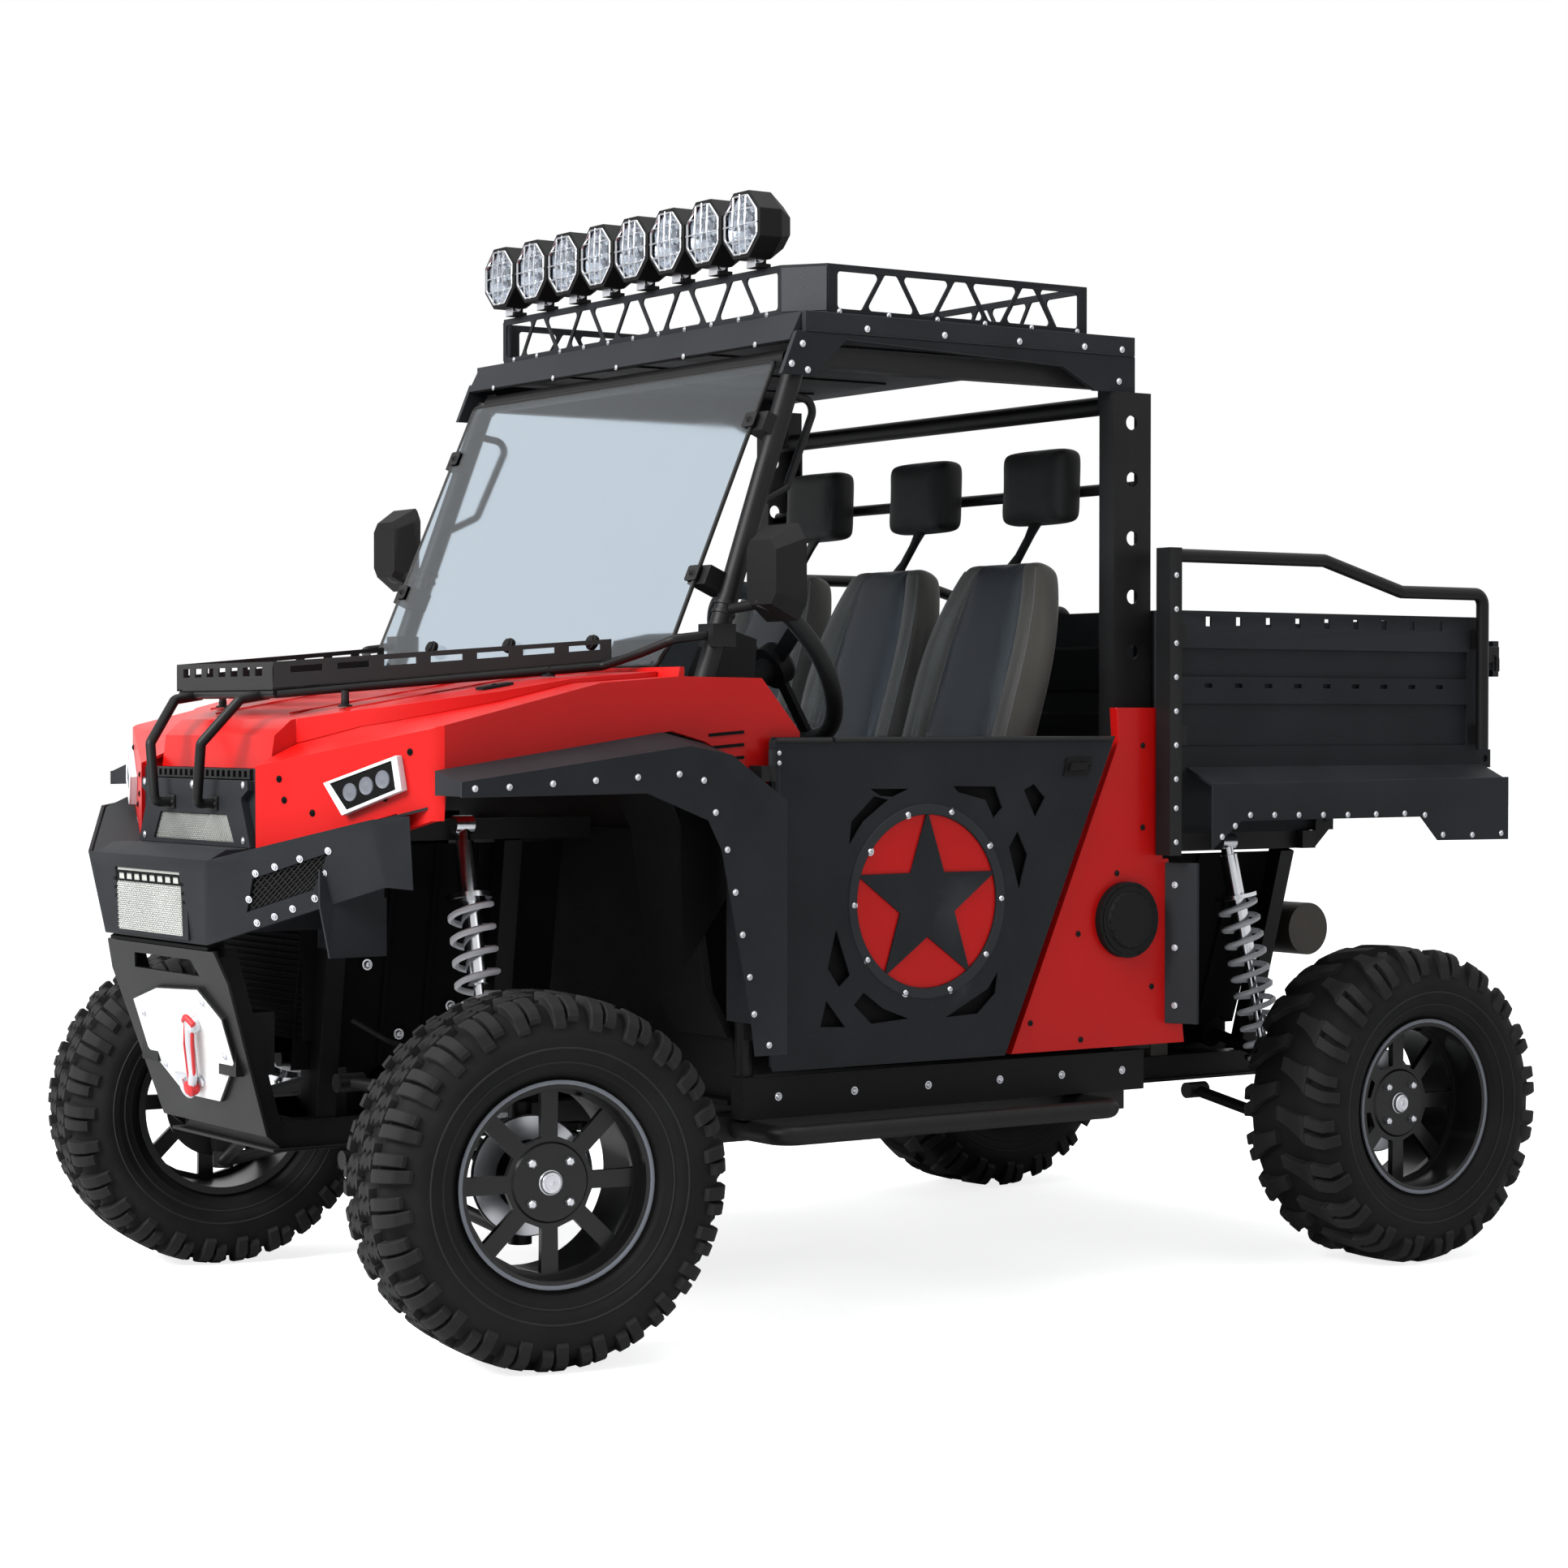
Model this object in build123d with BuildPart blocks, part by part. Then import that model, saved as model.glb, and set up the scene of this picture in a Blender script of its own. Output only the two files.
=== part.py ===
from build123d import *
import math
import os

# Full-size three-seat side by side utility vehicle with a dump bed.
# Millimetres, +Z up, -Y is the front and +X the driver's side. The origin is on the ground.

# Running gap between neighbours on one body, and between bodies that move
SEAT_GAP = 0.3
MOVING_GAP = 6.0

# Wheels and axles
TYRE_R = 340.0
TYRE_W = 262.0
LUGS = 18
LUG_H = 16.0
BORE_SIDES = 36
BEAD_R = 178.0
RIM_W = 206.0
RIM_WALL = 5.0
LIP_R = 188.0
LIP_W = 10.0
HUB_R = 40.0
SPOKE_T = 14.0
SPOKES = 8
FRONT_DISH = 50.0
REAR_DISH = 8.0
SPINDLE_R = 16.0
SPINDLE_CLEAR = 0.05
BRAKE_R = 112.0
BRAKE_T = 6.0
FRONT_AXLE_Y = -1030.0
REAR_AXLE_Y = 1103.0
WHEEL_X = 725.0
KING_X = 640.0
REST_STEER = -8.9

# Knuckles
KNUCKLE_H = 190.0
KNUCKLE_X = 36.0
KNUCKLE_Y = 40.0
STEER_ARM_Y = 115.0
STEER_ARM_Z = TYRE_R + 80.0
RACK_BAR_Z = 440.0
RACK_BAR_R = 14.0
RACK_BAR_X = 245.0
STEER_ARM_T = 14.0
JOINT_R = 22.0
JOINT_T = 36.0
JOINT_DROP = 6.0

# Suspension
LOW_PIVOT_X = 233.3
LOW_PIVOT_Z = TYRE_R - 10.0
UP_PIVOT_X = 250.0
UP_PIVOT_Z = TYRE_R + 140.0
PIVOT_SPREAD = 130.0
UP_PIVOTS = (30.0, 150.0)
ARM_R = 13.0
SHOCK_R = 20.0
SHOCK_ROD_R = 10.0
COIL_R = 40.0
COIL_WIRE_R = 6.5
COIL_TURNS = 9
SHOCK_EYE_R = 18.0
FRONT_SHOCK = ((306.0, -965.0, 970.0), (480.0, -985.0, TYRE_R - 44.0))
REAR_SHOCK = ((365.0, 945.0, 900.0), (430.0, 1035.0, TYRE_R - 30.3))

# Chassis frame
RAIL_X = 190.0
RAIL_SIZE = 50.0
RAIL_Z = 385.0
RAIL_FRONT_Y = -1310.0
RAIL_REAR_Y = 1300.0
SKID_T = 6.0
SILL_X = 600.0
SILL_FRONT_Y = -590.0
SILL_REAR_Y = 430.0
FLOOR_Z = 440.0
FLOOR_T = 10.0

# Doors
DOOR_X = 706.0
DOOR_T = 4.0
DOOR_TUBE_R = 11.0
DOOR_FRONT_Y = -512.0
DOOR_TOP_Z = 1139.0
DOOR_LOW_Z = 500.0
DOOR_TOP_REAR_Y = 333.0
DOOR_LOW_REAR_Y = 48.0
DOOR_HINGE_X = 718.0
DOOR_HINGE_Y = -522.0
DOOR_HINGES = (590.0, 1085.0)
DOOR_BARREL_R = 7.0
DOOR_PIN_R = 4.0
STAR_Y = -146.0
STAR_Z = 815.0
DISC_R = 176.0
STAR_POINT_R = 179.0
STAR_RATIO = 0.39

# Body panels
BODY_X = 700.0
PANEL_T = 4.0
FLARE_X = 778.0
FLARE_FRONT_Y = -1226.0
OVERHANG_Y = 1488.0
SIDE_PANEL_X = 678.0
CHEEK_IN = (262.0, -1380.0)
CHEEK_OUT = (664.0, -1224.0)
COWL_BACK_Y = -690.0
TOP_LINE = [(-1380.0, 1086.0), (-1216.0, 1160.0), (-876.0, 1241.0), (-704.0, 1254.0)]
GLASS_T = 6.0

# Roof
ROOF_X = 649.0
ROOF_FRONT_Y = -397.0
ROOF_REAR_Y = 436.0
ROOF_Z = 1965.0
ROOF_T = 40.0
FASCIA_T = 12.0
LEG_Z = 1840.0
RACK_Z = 2064.0
RACK_FRONT_Y = -386.0
RACK_FRONT_X = 547.0
RACK_X = 625.0
RACK_T = 5.0
DECK_T = 3.0
RACK_CORNER_Y = -327.0
RACK_REAR_Y = 327.0
LAMP_R = 66.0
LAMPS = 8
LAMP_SPAN = 960.0
LAMP_Y = -392.0
LAMP_Z = 2146.0

# Bed
BED_X = 700.0
BED_FRONT_Y = 482.0
BED_REAR_Y = 1392.0
BED_FLOOR_Z = 1062.0
BED_TOP_Z = 1400.0
BED_WALL = 24.0
SLOT_Z = 1378.0
SLOTS = 9
RIB_DEPTH = 7.0
BED_RIBS = ((1262, 1322), (1116, 1206))
RAIL_TOP_Z = 1512.0
RAIL_LOW_Z = 1450.0
GATE_T = 30.0
GATE_PIN_R = 8.0
GATE_HINGE_Z = 1086.0
BED_HINGE_Y = 1250.0
BED_HINGE_Z = 950.0
HINGE_PIN_R = 10.0

GATE_HINGE_Y = BED_REAR_Y + MOVING_GAP + 2 + GATE_T / 2

# Seats
SEAT_PITCH = 410.0
SEAT_W = 392.0
HEADREST_W = 220.0
HEADREST_H = 168.0
HEADREST_T = 78.0
HEADREST_Z = 1665.0

os.makedirs("parts", exist_ok=True)


def turned(x, y, angle):
    """A point turned about the origin."""
    turn = math.radians(angle)
    return (x * math.cos(turn) - y * math.sin(turn), x * math.sin(turn) + y * math.cos(turn))


def flat_plate(outline, plane, thickness, mode=Mode.ADD):
    """A plate with a straight-sided outline, thick along its plane's normal."""
    with BuildSketch(plane) as face:
        with BuildLine():
            Polyline(*outline, close=True)
        make_face()
    extrude(face.sketch, amount=thickness, mode=mode)


def rod(start, end, radius, mode=Mode.ADD):
    """A round rod between two points."""
    run = Vector(end) - Vector(start)
    with BuildSketch(Plane(origin=start, z_dir=run)) as face:
        Circle(radius)
    extrude(face.sketch, amount=run.length, mode=mode)


def bar(start, end, width, height, x_dir=(1, 0, 0), mode=Mode.ADD):
    """A rectangular bar between two points, its width along x_dir."""
    run = Vector(end) - Vector(start)
    with BuildSketch(Plane(origin=start, x_dir=x_dir, z_dir=run)) as face:
        Rectangle(width, height)
    extrude(face.sketch, amount=run.length, mode=mode)


def bent_tube(points, radius, bend):
    """A round tube along straight runs with rounded corners."""
    with BuildLine() as path:
        FilletPolyline(*points, radius=bend)
    with BuildSketch(Plane(origin=path.line @ 0, z_dir=path.line % 0)) as face:
        Circle(radius)
    sweep(face.sketch, path=path.line)


def slab(low, high, mode=Mode.ADD):
    """A block between two corners."""
    with Locations((Vector(low) + Vector(high)) / 2):
        Box(abs(high[0] - low[0]), abs(high[1] - low[1]), abs(high[2] - low[2]), mode=mode)


def plane_through(start, along, across):
    """Plane through three points, local x from the first to the second."""
    start, along, across = Vector(start), Vector(along), Vector(across)
    return Plane(origin=start, x_dir=along - start, z_dir=(along - start).cross(across - start))


def outline_on(plane, points):
    """Points in space as a flat outline on a plane."""
    return [(local.X, local.Y) for local in (plane.to_local_coords(Vector(point)) for point in points)]


def inset(points, depth):
    """An open polyline moved to its left by a depth, with mitred corners."""
    moved = []
    for index, point in enumerate(points):
        before = points[index - 1] if index else point
        after = points[index + 1] if index + 1 < len(points) else point
        sides = []
        for start, end in ((before, point), (point, after)):
            if start != end:
                length = math.dist(start, end)
                sides.append(((start[1] - end[1]) / length, (end[0] - start[0]) / length))
        one, two = sides[0], sides[-1]
        scale = depth / (1 + one[0] * two[0] + one[1] * two[1])
        moved.append((point[0] + (one[0] + two[0]) * scale, point[1] + (one[1] + two[1]) * scale))
    return moved


def finish(piece, label):
    piece.part.label = label
    export_step(piece.part, f"parts/{label}.step")


def wheel_plane(side, y, angle, king_x):
    """Plane through the spin axis: local x points outboard, local y points up."""
    offset = turned(side * (WHEEL_X - king_x), 0, angle)
    centre = (side * king_x + offset[0], y + offset[1], TYRE_R)
    outboard = turned(side, 0, angle)
    return Plane(origin=centre, x_dir=(*outboard, 0), z_dir=Vector(*outboard, 0).cross(Vector(0, 0, 1)))


def toothed(plane, along, low, high):
    """Outline across the spin axis whose radius steps between the grooves and the lugs."""
    step = math.tau / LUGS
    points = []
    for lug in range(LUGS):
        middle = lug * step - math.pi / 2
        for turn, radius in ((-0.25, low), (-0.25, high), (0.25, high), (0.25, low)):
            angle = middle + turn * step
            points.append(plane.from_local_coords((along, radius * math.sin(angle), radius * math.cos(angle))))
    return points


def make_tyre(label, plane):
    """A tyre of flat facets: lugs across the tread run down the shoulders and fade on the walls."""
    half = TYRE_W / 2
    seat = RIM_W / 2 - LIP_W - SEAT_GAP
    bore = (BEAD_R + SEAT_GAP) / math.cos(math.pi / BORE_SIDES)
    tip = TYRE_R / math.cos(math.pi / LUGS / 2)
    profile = (
        (seat, LIP_R + 2, LIP_R + 3), (half, TYRE_R - 78, TYRE_R - 76), (half - 12, TYRE_R - 36, TYRE_R - 18),
        (half - 43, TYRE_R - LUG_H, tip))
    with BuildPart() as tyre:
        for along, low, high in [(-row[0], *row[1:]) for row in profile] + list(profile[::-1]):
            with BuildSketch(Plane(origin=plane.from_local_coords((along, 0, 0)), z_dir=plane.x_dir)) as ring:
                with BuildLine():
                    Polyline(*outline_on(ring.workplanes[0], toothed(plane, along, low, high)), close=True)
                make_face()
        loft(ruled=True)
        with BuildSketch(Plane(origin=plane.from_local_coords((-half, 0, 0)), z_dir=plane.x_dir)):
            RegularPolygon(bore, BORE_SIDES)
        extrude(amount=TYRE_W, mode=Mode.SUBTRACT)
    finish(tyre, label)


def make_rim(label, plane, dish):
    half = RIM_W / 2
    face_plane = Plane(origin=plane.from_local_coords((dish, 0, 0)), x_dir=plane.y_dir, z_dir=plane.x_dir)
    with BuildPart() as rim:
        with BuildSketch(plane):
            with BuildLine():
                Polyline(
                    (-half, BEAD_R - RIM_WALL), (half, BEAD_R - RIM_WALL), (half, LIP_R),
                    (half - LIP_W, LIP_R), (half - LIP_W, BEAD_R), (LIP_W - half, BEAD_R),
                    (LIP_W - half, LIP_R), (-half, LIP_R), close=True)
            make_face()
            with BuildLine():
                Polyline(
                    (dish, 0), (dish, BEAD_R - RIM_WALL / 2), (dish + SPOKE_T, BEAD_R - RIM_WALL / 2),
                    (dish + SPOKE_T, HUB_R + 34), (dish + SPOKE_T + 4, HUB_R + 30), (dish + SPOKE_T + 4, 0),
                    close=True)
            make_face()
        revolve(axis=Axis(plane.origin, plane.x_dir))
        with BuildSketch(face_plane):
            with PolarLocations(0, SPOKES, start_angle=360 / SPOKES / 2):
                Polygon((82, -17), (157, -47), (163, 0), (157, 47), (82, 17), align=None)
        extrude(amount=SPOKE_T * 2, mode=Mode.SUBTRACT)
        with BuildSketch(plane):
            with BuildLine():
                Polyline(
                    (dish, 0), (dish, HUB_R), (-38, HUB_R), (-38, BRAKE_R), (-38 - BRAKE_T, BRAKE_R),
                    (-38 - BRAKE_T, 0), close=True)
            make_face()
        revolve(axis=Axis(plane.origin, plane.x_dir))
        with BuildSketch(plane):
            with BuildLine():
                Polyline(
                    (-38 - BRAKE_T - 1, 0), (-38 - BRAKE_T - 1, SPINDLE_R + SPINDLE_CLEAR),
                    (0, SPINDLE_R + SPINDLE_CLEAR), (0, 0), close=True)
            make_face()
        revolve(axis=Axis(plane.origin, plane.x_dir), mode=Mode.SUBTRACT)
    finish(rim, label)


def add_upright(plane, king_out):
    """Upright, spindle and caliper in the wheel's plane; king_out is the wheel's offset from it."""
    back = -38 - BRAKE_T - 4
    with BuildSketch(plane.offset(-KNUCKLE_Y / 2)) as upright:
        with BuildLine():
            Polyline(
                (-king_out - KNUCKLE_X / 2, -KNUCKLE_H / 2), (-king_out + KNUCKLE_X / 2, -KNUCKLE_H / 2),
                (back, -50), (back, 50), (-king_out + KNUCKLE_X / 2, KNUCKLE_H / 2),
                (-king_out - KNUCKLE_X / 2, KNUCKLE_H / 2), close=True)
        make_face()
    extrude(upright.sketch, amount=KNUCKLE_Y)
    start = plane.from_local_coords((back - 10, 0, 0))
    end = plane.from_local_coords((-1.0, 0, 0))
    rod(start, end, SPINDLE_R)


WHEELS = {
    "front_left": wheel_plane(1, FRONT_AXLE_Y, REST_STEER, KING_X),
    "front_right": wheel_plane(-1, FRONT_AXLE_Y, REST_STEER, KING_X),
    "rear_left": wheel_plane(1, REAR_AXLE_Y, 0, KING_X),
    "rear_right": wheel_plane(-1, REAR_AXLE_Y, 0, KING_X),
}
for place, plane in WHEELS.items():
    make_tyre(f"tyre_{place}", plane)
    make_rim(f"rim_{place}", plane, FRONT_DISH if place.startswith("front") else REAR_DISH)

# Steered knuckles with their steering arms, turned as the wheels stand
KING_OUT = WHEEL_X - KING_X
for side, name in ((1, "left"), (-1, "right")):
    plane = WHEELS[f"front_{name}"]
    with BuildPart() as knuckle:
        add_upright(plane, KING_OUT)
        root = turned(side * -10, 10, REST_STEER)
        tip = turned(0, STEER_ARM_Y, REST_STEER)
        bar(
            (side * KING_X + root[0], FRONT_AXLE_Y + root[1], STEER_ARM_Z),
            (side * KING_X + tip[0], FRONT_AXLE_Y + tip[1], STEER_ARM_Z),
            30, STEER_ARM_T, x_dir=(*turned(1, 0, REST_STEER), 0))
        with Locations((side * KING_X + tip[0], FRONT_AXLE_Y + tip[1], STEER_ARM_Z)):
            Cylinder(18, STEER_ARM_T)
    finish(knuckle, f"knuckle_{name}")

# Steering rack with its tie rods, whose eyes lie under the steering arms
EYE_Z = STEER_ARM_Z - STEER_ARM_T / 2 - 12
RACK_Y = FRONT_AXLE_Y + turned(0, STEER_ARM_Y, REST_STEER)[1]
with BuildPart() as tie_rods:
    rod((-RACK_BAR_X, RACK_Y, RACK_BAR_Z), (RACK_BAR_X, RACK_Y, RACK_BAR_Z), RACK_BAR_R)
    for side in (1, -1):
        tip = turned(0, STEER_ARM_Y, REST_STEER)
        eye = (side * KING_X + tip[0], FRONT_AXLE_Y + tip[1], EYE_Z)
        rod((side * (RACK_BAR_X - 5), RACK_Y, RACK_BAR_Z), eye, 8)
        with Locations(eye):
            Cylinder(16, 14)
finish(tie_rods, "tie_rods")

# Suspension arms front and rear, with the fixed rear knuckles
LOW_BALL_Z = TYRE_R - KNUCKLE_H / 2 - JOINT_T / 2 - SEAT_GAP
UP_BALL_Z = TYRE_R + KNUCKLE_H / 2 + JOINT_T / 2 + SEAT_GAP
with BuildPart() as suspension_arms:
    for axle_y, away in ((FRONT_AXLE_Y, -1), (REAR_AXLE_Y, 1)):
        for pivot_x, pivot_z, ball_z, drop, spread in (
                (LOW_PIVOT_X, LOW_PIVOT_Z, LOW_BALL_Z, -JOINT_DROP, (-PIVOT_SPREAD, PIVOT_SPREAD)),
                (UP_PIVOT_X, UP_PIVOT_Z, UP_BALL_Z, JOINT_DROP, UP_PIVOTS)):
            with Locations((KING_X, axle_y, ball_z)):
                Cylinder(JOINT_R, JOINT_T)
            for along in spread:
                pivot_y = axle_y + away * along
                rod((KING_X, axle_y, ball_z + drop), (pivot_x, pivot_y, pivot_z), ARM_R)
                rod((pivot_x, pivot_y - 28, pivot_z), (pivot_x, pivot_y + 28, pivot_z), ARM_R + 5)
    mirror(about=Plane.YZ)
    for side in (1, -1):
        add_upright(WHEELS["rear_left" if side == 1 else "rear_right"], KING_OUT)
finish(suspension_arms, "suspension_arms")

# Differentials and half shafts with rubber boots
with BuildPart() as drive_line:
    for axle_y in (FRONT_AXLE_Y, REAR_AXLE_Y):
        with Locations((0, axle_y, TYRE_R + 125)):
            Box(200, 160, 150)
        for side in (1, -1):
            inner = (side * 90, axle_y, TYRE_R + 120)
            outer = (side * (KING_X - 33), axle_y, TYRE_R + 10)
            rod(inner, outer, 13)
            rod(inner, (side * 150, axle_y, TYRE_R + 107), 34)
            slab((side * 90, axle_y - 60, 392), (side * (RAIL_X - RAIL_SIZE / 2 - SEAT_GAP), axle_y - 10, 408))
finish(drive_line, "drive_line")


DAMPERS = tuple((Vector(top), Vector(foot)) for top, foot in (FRONT_SHOCK, REAR_SHOCK))
LOW_SEAT = 0.8

# Dampers: body at the top, rod below, a spring seat at each end
with BuildPart() as dampers:
    for top, foot in DAMPERS:
        run = foot - top
        body_end = top + run * 0.45
        rod(top, top + run * 0.06, 14)
        rod(top + run * 0.05, body_end, SHOCK_R)
        rod(body_end, foot, SHOCK_ROD_R)
        for share in (0.2, LOW_SEAT):
            seat = top + run * share
            seat_end = top + run * (share + 0.015)
            rod(seat, seat_end, COIL_R + COIL_WIRE_R)
        for eye in (top, foot):
            rod((eye.X, eye.Y - 20, eye.Z), (eye.X, eye.Y + 20, eye.Z), SHOCK_EYE_R)
    mirror(about=Plane.YZ)
finish(dampers, "dampers")

# Coil springs round the dampers, between the spring seats
with BuildPart() as coil_springs:
    for top, foot in DAMPERS:
        run = foot - top
        low = top + run * LOW_SEAT
        length = run.length * (LOW_SEAT - 0.215) - 2 * COIL_WIRE_R - 2 * SEAT_GAP
        start = low - run.normalized() * (COIL_WIRE_R + SEAT_GAP)
        axis_plane = Plane(origin=start, x_dir=(0, 1, 0), z_dir=-run)
        helix = axis_plane * Helix(pitch=length / COIL_TURNS, height=length, radius=COIL_R)
        with BuildSketch(Plane(origin=helix @ 0, z_dir=helix % 0)) as wire:
            RegularPolygon(COIL_WIRE_R, 6)
        sweep(wire.sketch, path=helix, is_frenet=True)
    mirror(about=Plane.YZ)
finish(coil_springs, "coil_springs")

UPPER_SIZE = 40.0
FRONT_RAIL_X = FRONT_SHOCK[0][0] - SHOCK_EYE_R - UPPER_SIZE / 2 - SEAT_GAP
FRONT_RAIL_Z = 960.0
REAR_RAIL_X = REAR_SHOCK[0][0] - SHOCK_EYE_R - UPPER_SIZE / 2 - SEAT_GAP
REAR_RAIL_Z = 900.0
REAR_CROSS_Y = 1195.0
LUG_T = 12.0
LUG_X = REAR_RAIL_X + 36.0
RECEIVER = 63.5
RECEIVER_BORE = 51.2
RECEIVER_Y = 1400.0
HITCH_PIN_Y = 1356.0
HITCH_PIN_R = 8.2

# Ladder frame: two lower rails, cross members, outriggers, front and rear uprights with upper rails
with BuildPart() as main_frame:
    half = RAIL_SIZE / 2
    for side in (1, -1):
        bar((side * RAIL_X, RAIL_FRONT_Y, RAIL_Z), (side * RAIL_X, RAIL_REAR_Y, RAIL_Z), RAIL_SIZE, RAIL_SIZE)
        bar((side * SILL_X, SILL_FRONT_Y, RAIL_Z), (side * SILL_X, SILL_REAR_Y, RAIL_Z), RAIL_SIZE, RAIL_SIZE)
        for y in (SILL_FRONT_Y + half, -80.0, SILL_REAR_Y - half):
            bar(
                (side * (RAIL_X + half + SEAT_GAP), y, RAIL_Z), (side * (SILL_X - half - SEAT_GAP), y, RAIL_Z),
                RAIL_SIZE, RAIL_SIZE, x_dir=(0, 1, 0))
        for y, rail_x, rail_z in (
                (-1210.0, FRONT_RAIL_X, FRONT_RAIL_Z), (-840.0, FRONT_RAIL_X, FRONT_RAIL_Z),
                (520.0, REAR_RAIL_X, REAR_RAIL_Z), (1150.0, REAR_RAIL_X, REAR_RAIL_Z)):
            bar(
                (side * RAIL_X, y, RAIL_Z + half + SEAT_GAP), (side * rail_x, y, rail_z - UPPER_SIZE / 2 - SEAT_GAP),
                40, 40)
        bar(
            (side * FRONT_RAIL_X, -1270, FRONT_RAIL_Z), (side * FRONT_RAIL_X, -665, FRONT_RAIL_Z),
            UPPER_SIZE, UPPER_SIZE)
        bar(
            (side * REAR_RAIL_X, 470, REAR_RAIL_Z), (side * REAR_RAIL_X, REAR_CROSS_Y - 20 - SEAT_GAP, REAR_RAIL_Z),
            UPPER_SIZE, UPPER_SIZE)
        with BuildSketch(Plane.YZ.offset(side * RAIL_X - 20)) as clamp:
            with Locations((RACK_Y, RACK_BAR_Z + 2)):
                Rectangle(44, 63)
            with Locations((RACK_Y, RACK_BAR_Z)):
                Circle(RACK_BAR_R + SPINDLE_CLEAR, mode=Mode.SUBTRACT)
        extrude(clamp.sketch, amount=40)
        with BuildSketch(Plane.YZ.offset(side * LUG_X - LUG_T / 2)) as lug:
            with BuildLine():
                Polyline(
                    (REAR_CROSS_Y + 20 + SEAT_GAP, 884), (REAR_CROSS_Y + 20 + SEAT_GAP, 940),
                    (BED_HINGE_Y - 12, BED_HINGE_Z + 22), (BED_HINGE_Y + 20, BED_HINGE_Z + 16),
                    (BED_HINGE_Y + 20, BED_HINGE_Z - 16), close=True)
            make_face()
            with Locations((BED_HINGE_Y, BED_HINGE_Z)):
                Circle(HINGE_PIN_R + SPINDLE_CLEAR, mode=Mode.SUBTRACT)
        extrude(lug.sketch, amount=LUG_T)
    bar((-LUG_X - 6, REAR_CROSS_Y, REAR_RAIL_Z), (LUG_X + 6, REAR_CROSS_Y, REAR_RAIL_Z), 40, 40, x_dir=(0, 1, 0))
    for y in (RAIL_FRONT_Y + half, -700.0, 400.0, RAIL_REAR_Y - half):
        bar(
            (-RAIL_X + half + SEAT_GAP, y, RAIL_Z), (RAIL_X - half - SEAT_GAP, y, RAIL_Z),
            RAIL_SIZE, RAIL_SIZE, x_dir=(0, 1, 0))
    slab(
        (-RECEIVER / 2, RAIL_REAR_Y - 15, RAIL_Z - RECEIVER / 2), (RECEIVER / 2, RECEIVER_Y, RAIL_Z + RECEIVER / 2))
    slab(
        (-RECEIVER_BORE / 2, RAIL_REAR_Y - 10, RAIL_Z - RECEIVER_BORE / 2),
        (RECEIVER_BORE / 2, RECEIVER_Y + 1, RAIL_Z + RECEIVER_BORE / 2), Mode.SUBTRACT)
    rod((-RECEIVER, HITCH_PIN_Y, RAIL_Z), (RECEIVER, HITCH_PIN_Y, RAIL_Z), HITCH_PIN_R, Mode.SUBTRACT)
finish(main_frame, "main_frame")

# Skid plate under the frame, turned up at the front
with BuildPart() as skid_plate:
    under = RAIL_Z - RAIL_SIZE / 2 - SEAT_GAP
    flat_plate(
        [(-1330, under), (1280, under), (1280, under - SKID_T), (-1330, under - SKID_T)],
        Plane.YZ.offset(-230), 460)
finish(skid_plate, "skid_plate")

# Floor pan with its toe board and the black sills
with BuildPart() as floor_pan:
    flat_plate(
        [(-560, FLOOR_Z), (430, FLOOR_Z), (430, FLOOR_Z - FLOOR_T), (-560, FLOOR_Z - FLOOR_T)],
        Plane.YZ.offset(-620), 1240)
    flat_plate(
        [(-538, FLOOR_Z + SEAT_GAP), (-548, 560), (-600, 650), (-648, 960), (-640, 960), (-592, 650), (-540, 560),
         (-530, FLOOR_Z + SEAT_GAP)],
        Plane.YZ.offset(-620), 1240)
    for side in (1, -1):
        slab((side * 655 - 22, -560, 406), (side * 655 + 22, 440, 488))
        for y in (-480.0, 300.0):
            slab((side * 165, y, RAIL_Z + RAIL_SIZE / 2 + SEAT_GAP), (side * 215, y + 60, FLOOR_Z - FLOOR_T + 1))
finish(floor_pan, "floor_pan")

# Engine block low in the frame behind the seats, with the exhaust can across the tail
with BuildPart() as engine:
    with Locations((0, 720, 640)):
        Box(340, 430, 380)
    for side in (1, -1):
        for y in (560.0, 860.0):
            slab((side * 150, y, RAIL_Z + RAIL_SIZE / 2 + SEAT_GAP), (side * 210, y + 50, 470))
    rod((-110, 1262, 690), (295, 1262, 690), 60)
    rod((0, 930, 690), (0, 1262, 690), 24)
finish(engine, "engine")

# Hood: one raised panel that widens towards the windscreen
HOOD_NOSE_Y = -1342.0
HOOD_BACK_Y = -705.0
with BuildPart() as hood:
    under = [(y, z + SEAT_GAP) for y, z in TOP_LINE]
    flat_plate(
        [(HOOD_NOSE_Y, 1080), (HOOD_NOSE_Y + 8, 1142), (HOOD_NOSE_Y + 42, 1172), (-1216, 1192), (-876, 1250),
         (HOOD_BACK_Y, 1264), (HOOD_BACK_Y, 1254.3), under[2], under[1], (-1289, 1128), (HOOD_NOSE_Y + 28, 1112),
         (HOOD_NOSE_Y + 20, 1080)],
        Plane.YZ.offset(-600), 1200)
    half_outline = [(246, HOOD_NOSE_Y), (249, -1289.3), (300, -1262), (420, -1190), (548, -1020), (598, HOOD_BACK_Y)]
    flat_plate(
        half_outline + [(-x, y) for x, y in reversed(half_outline)], Plane.XY.offset(1000), 400, Mode.INTERSECT)
finish(hood, "hood")

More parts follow.
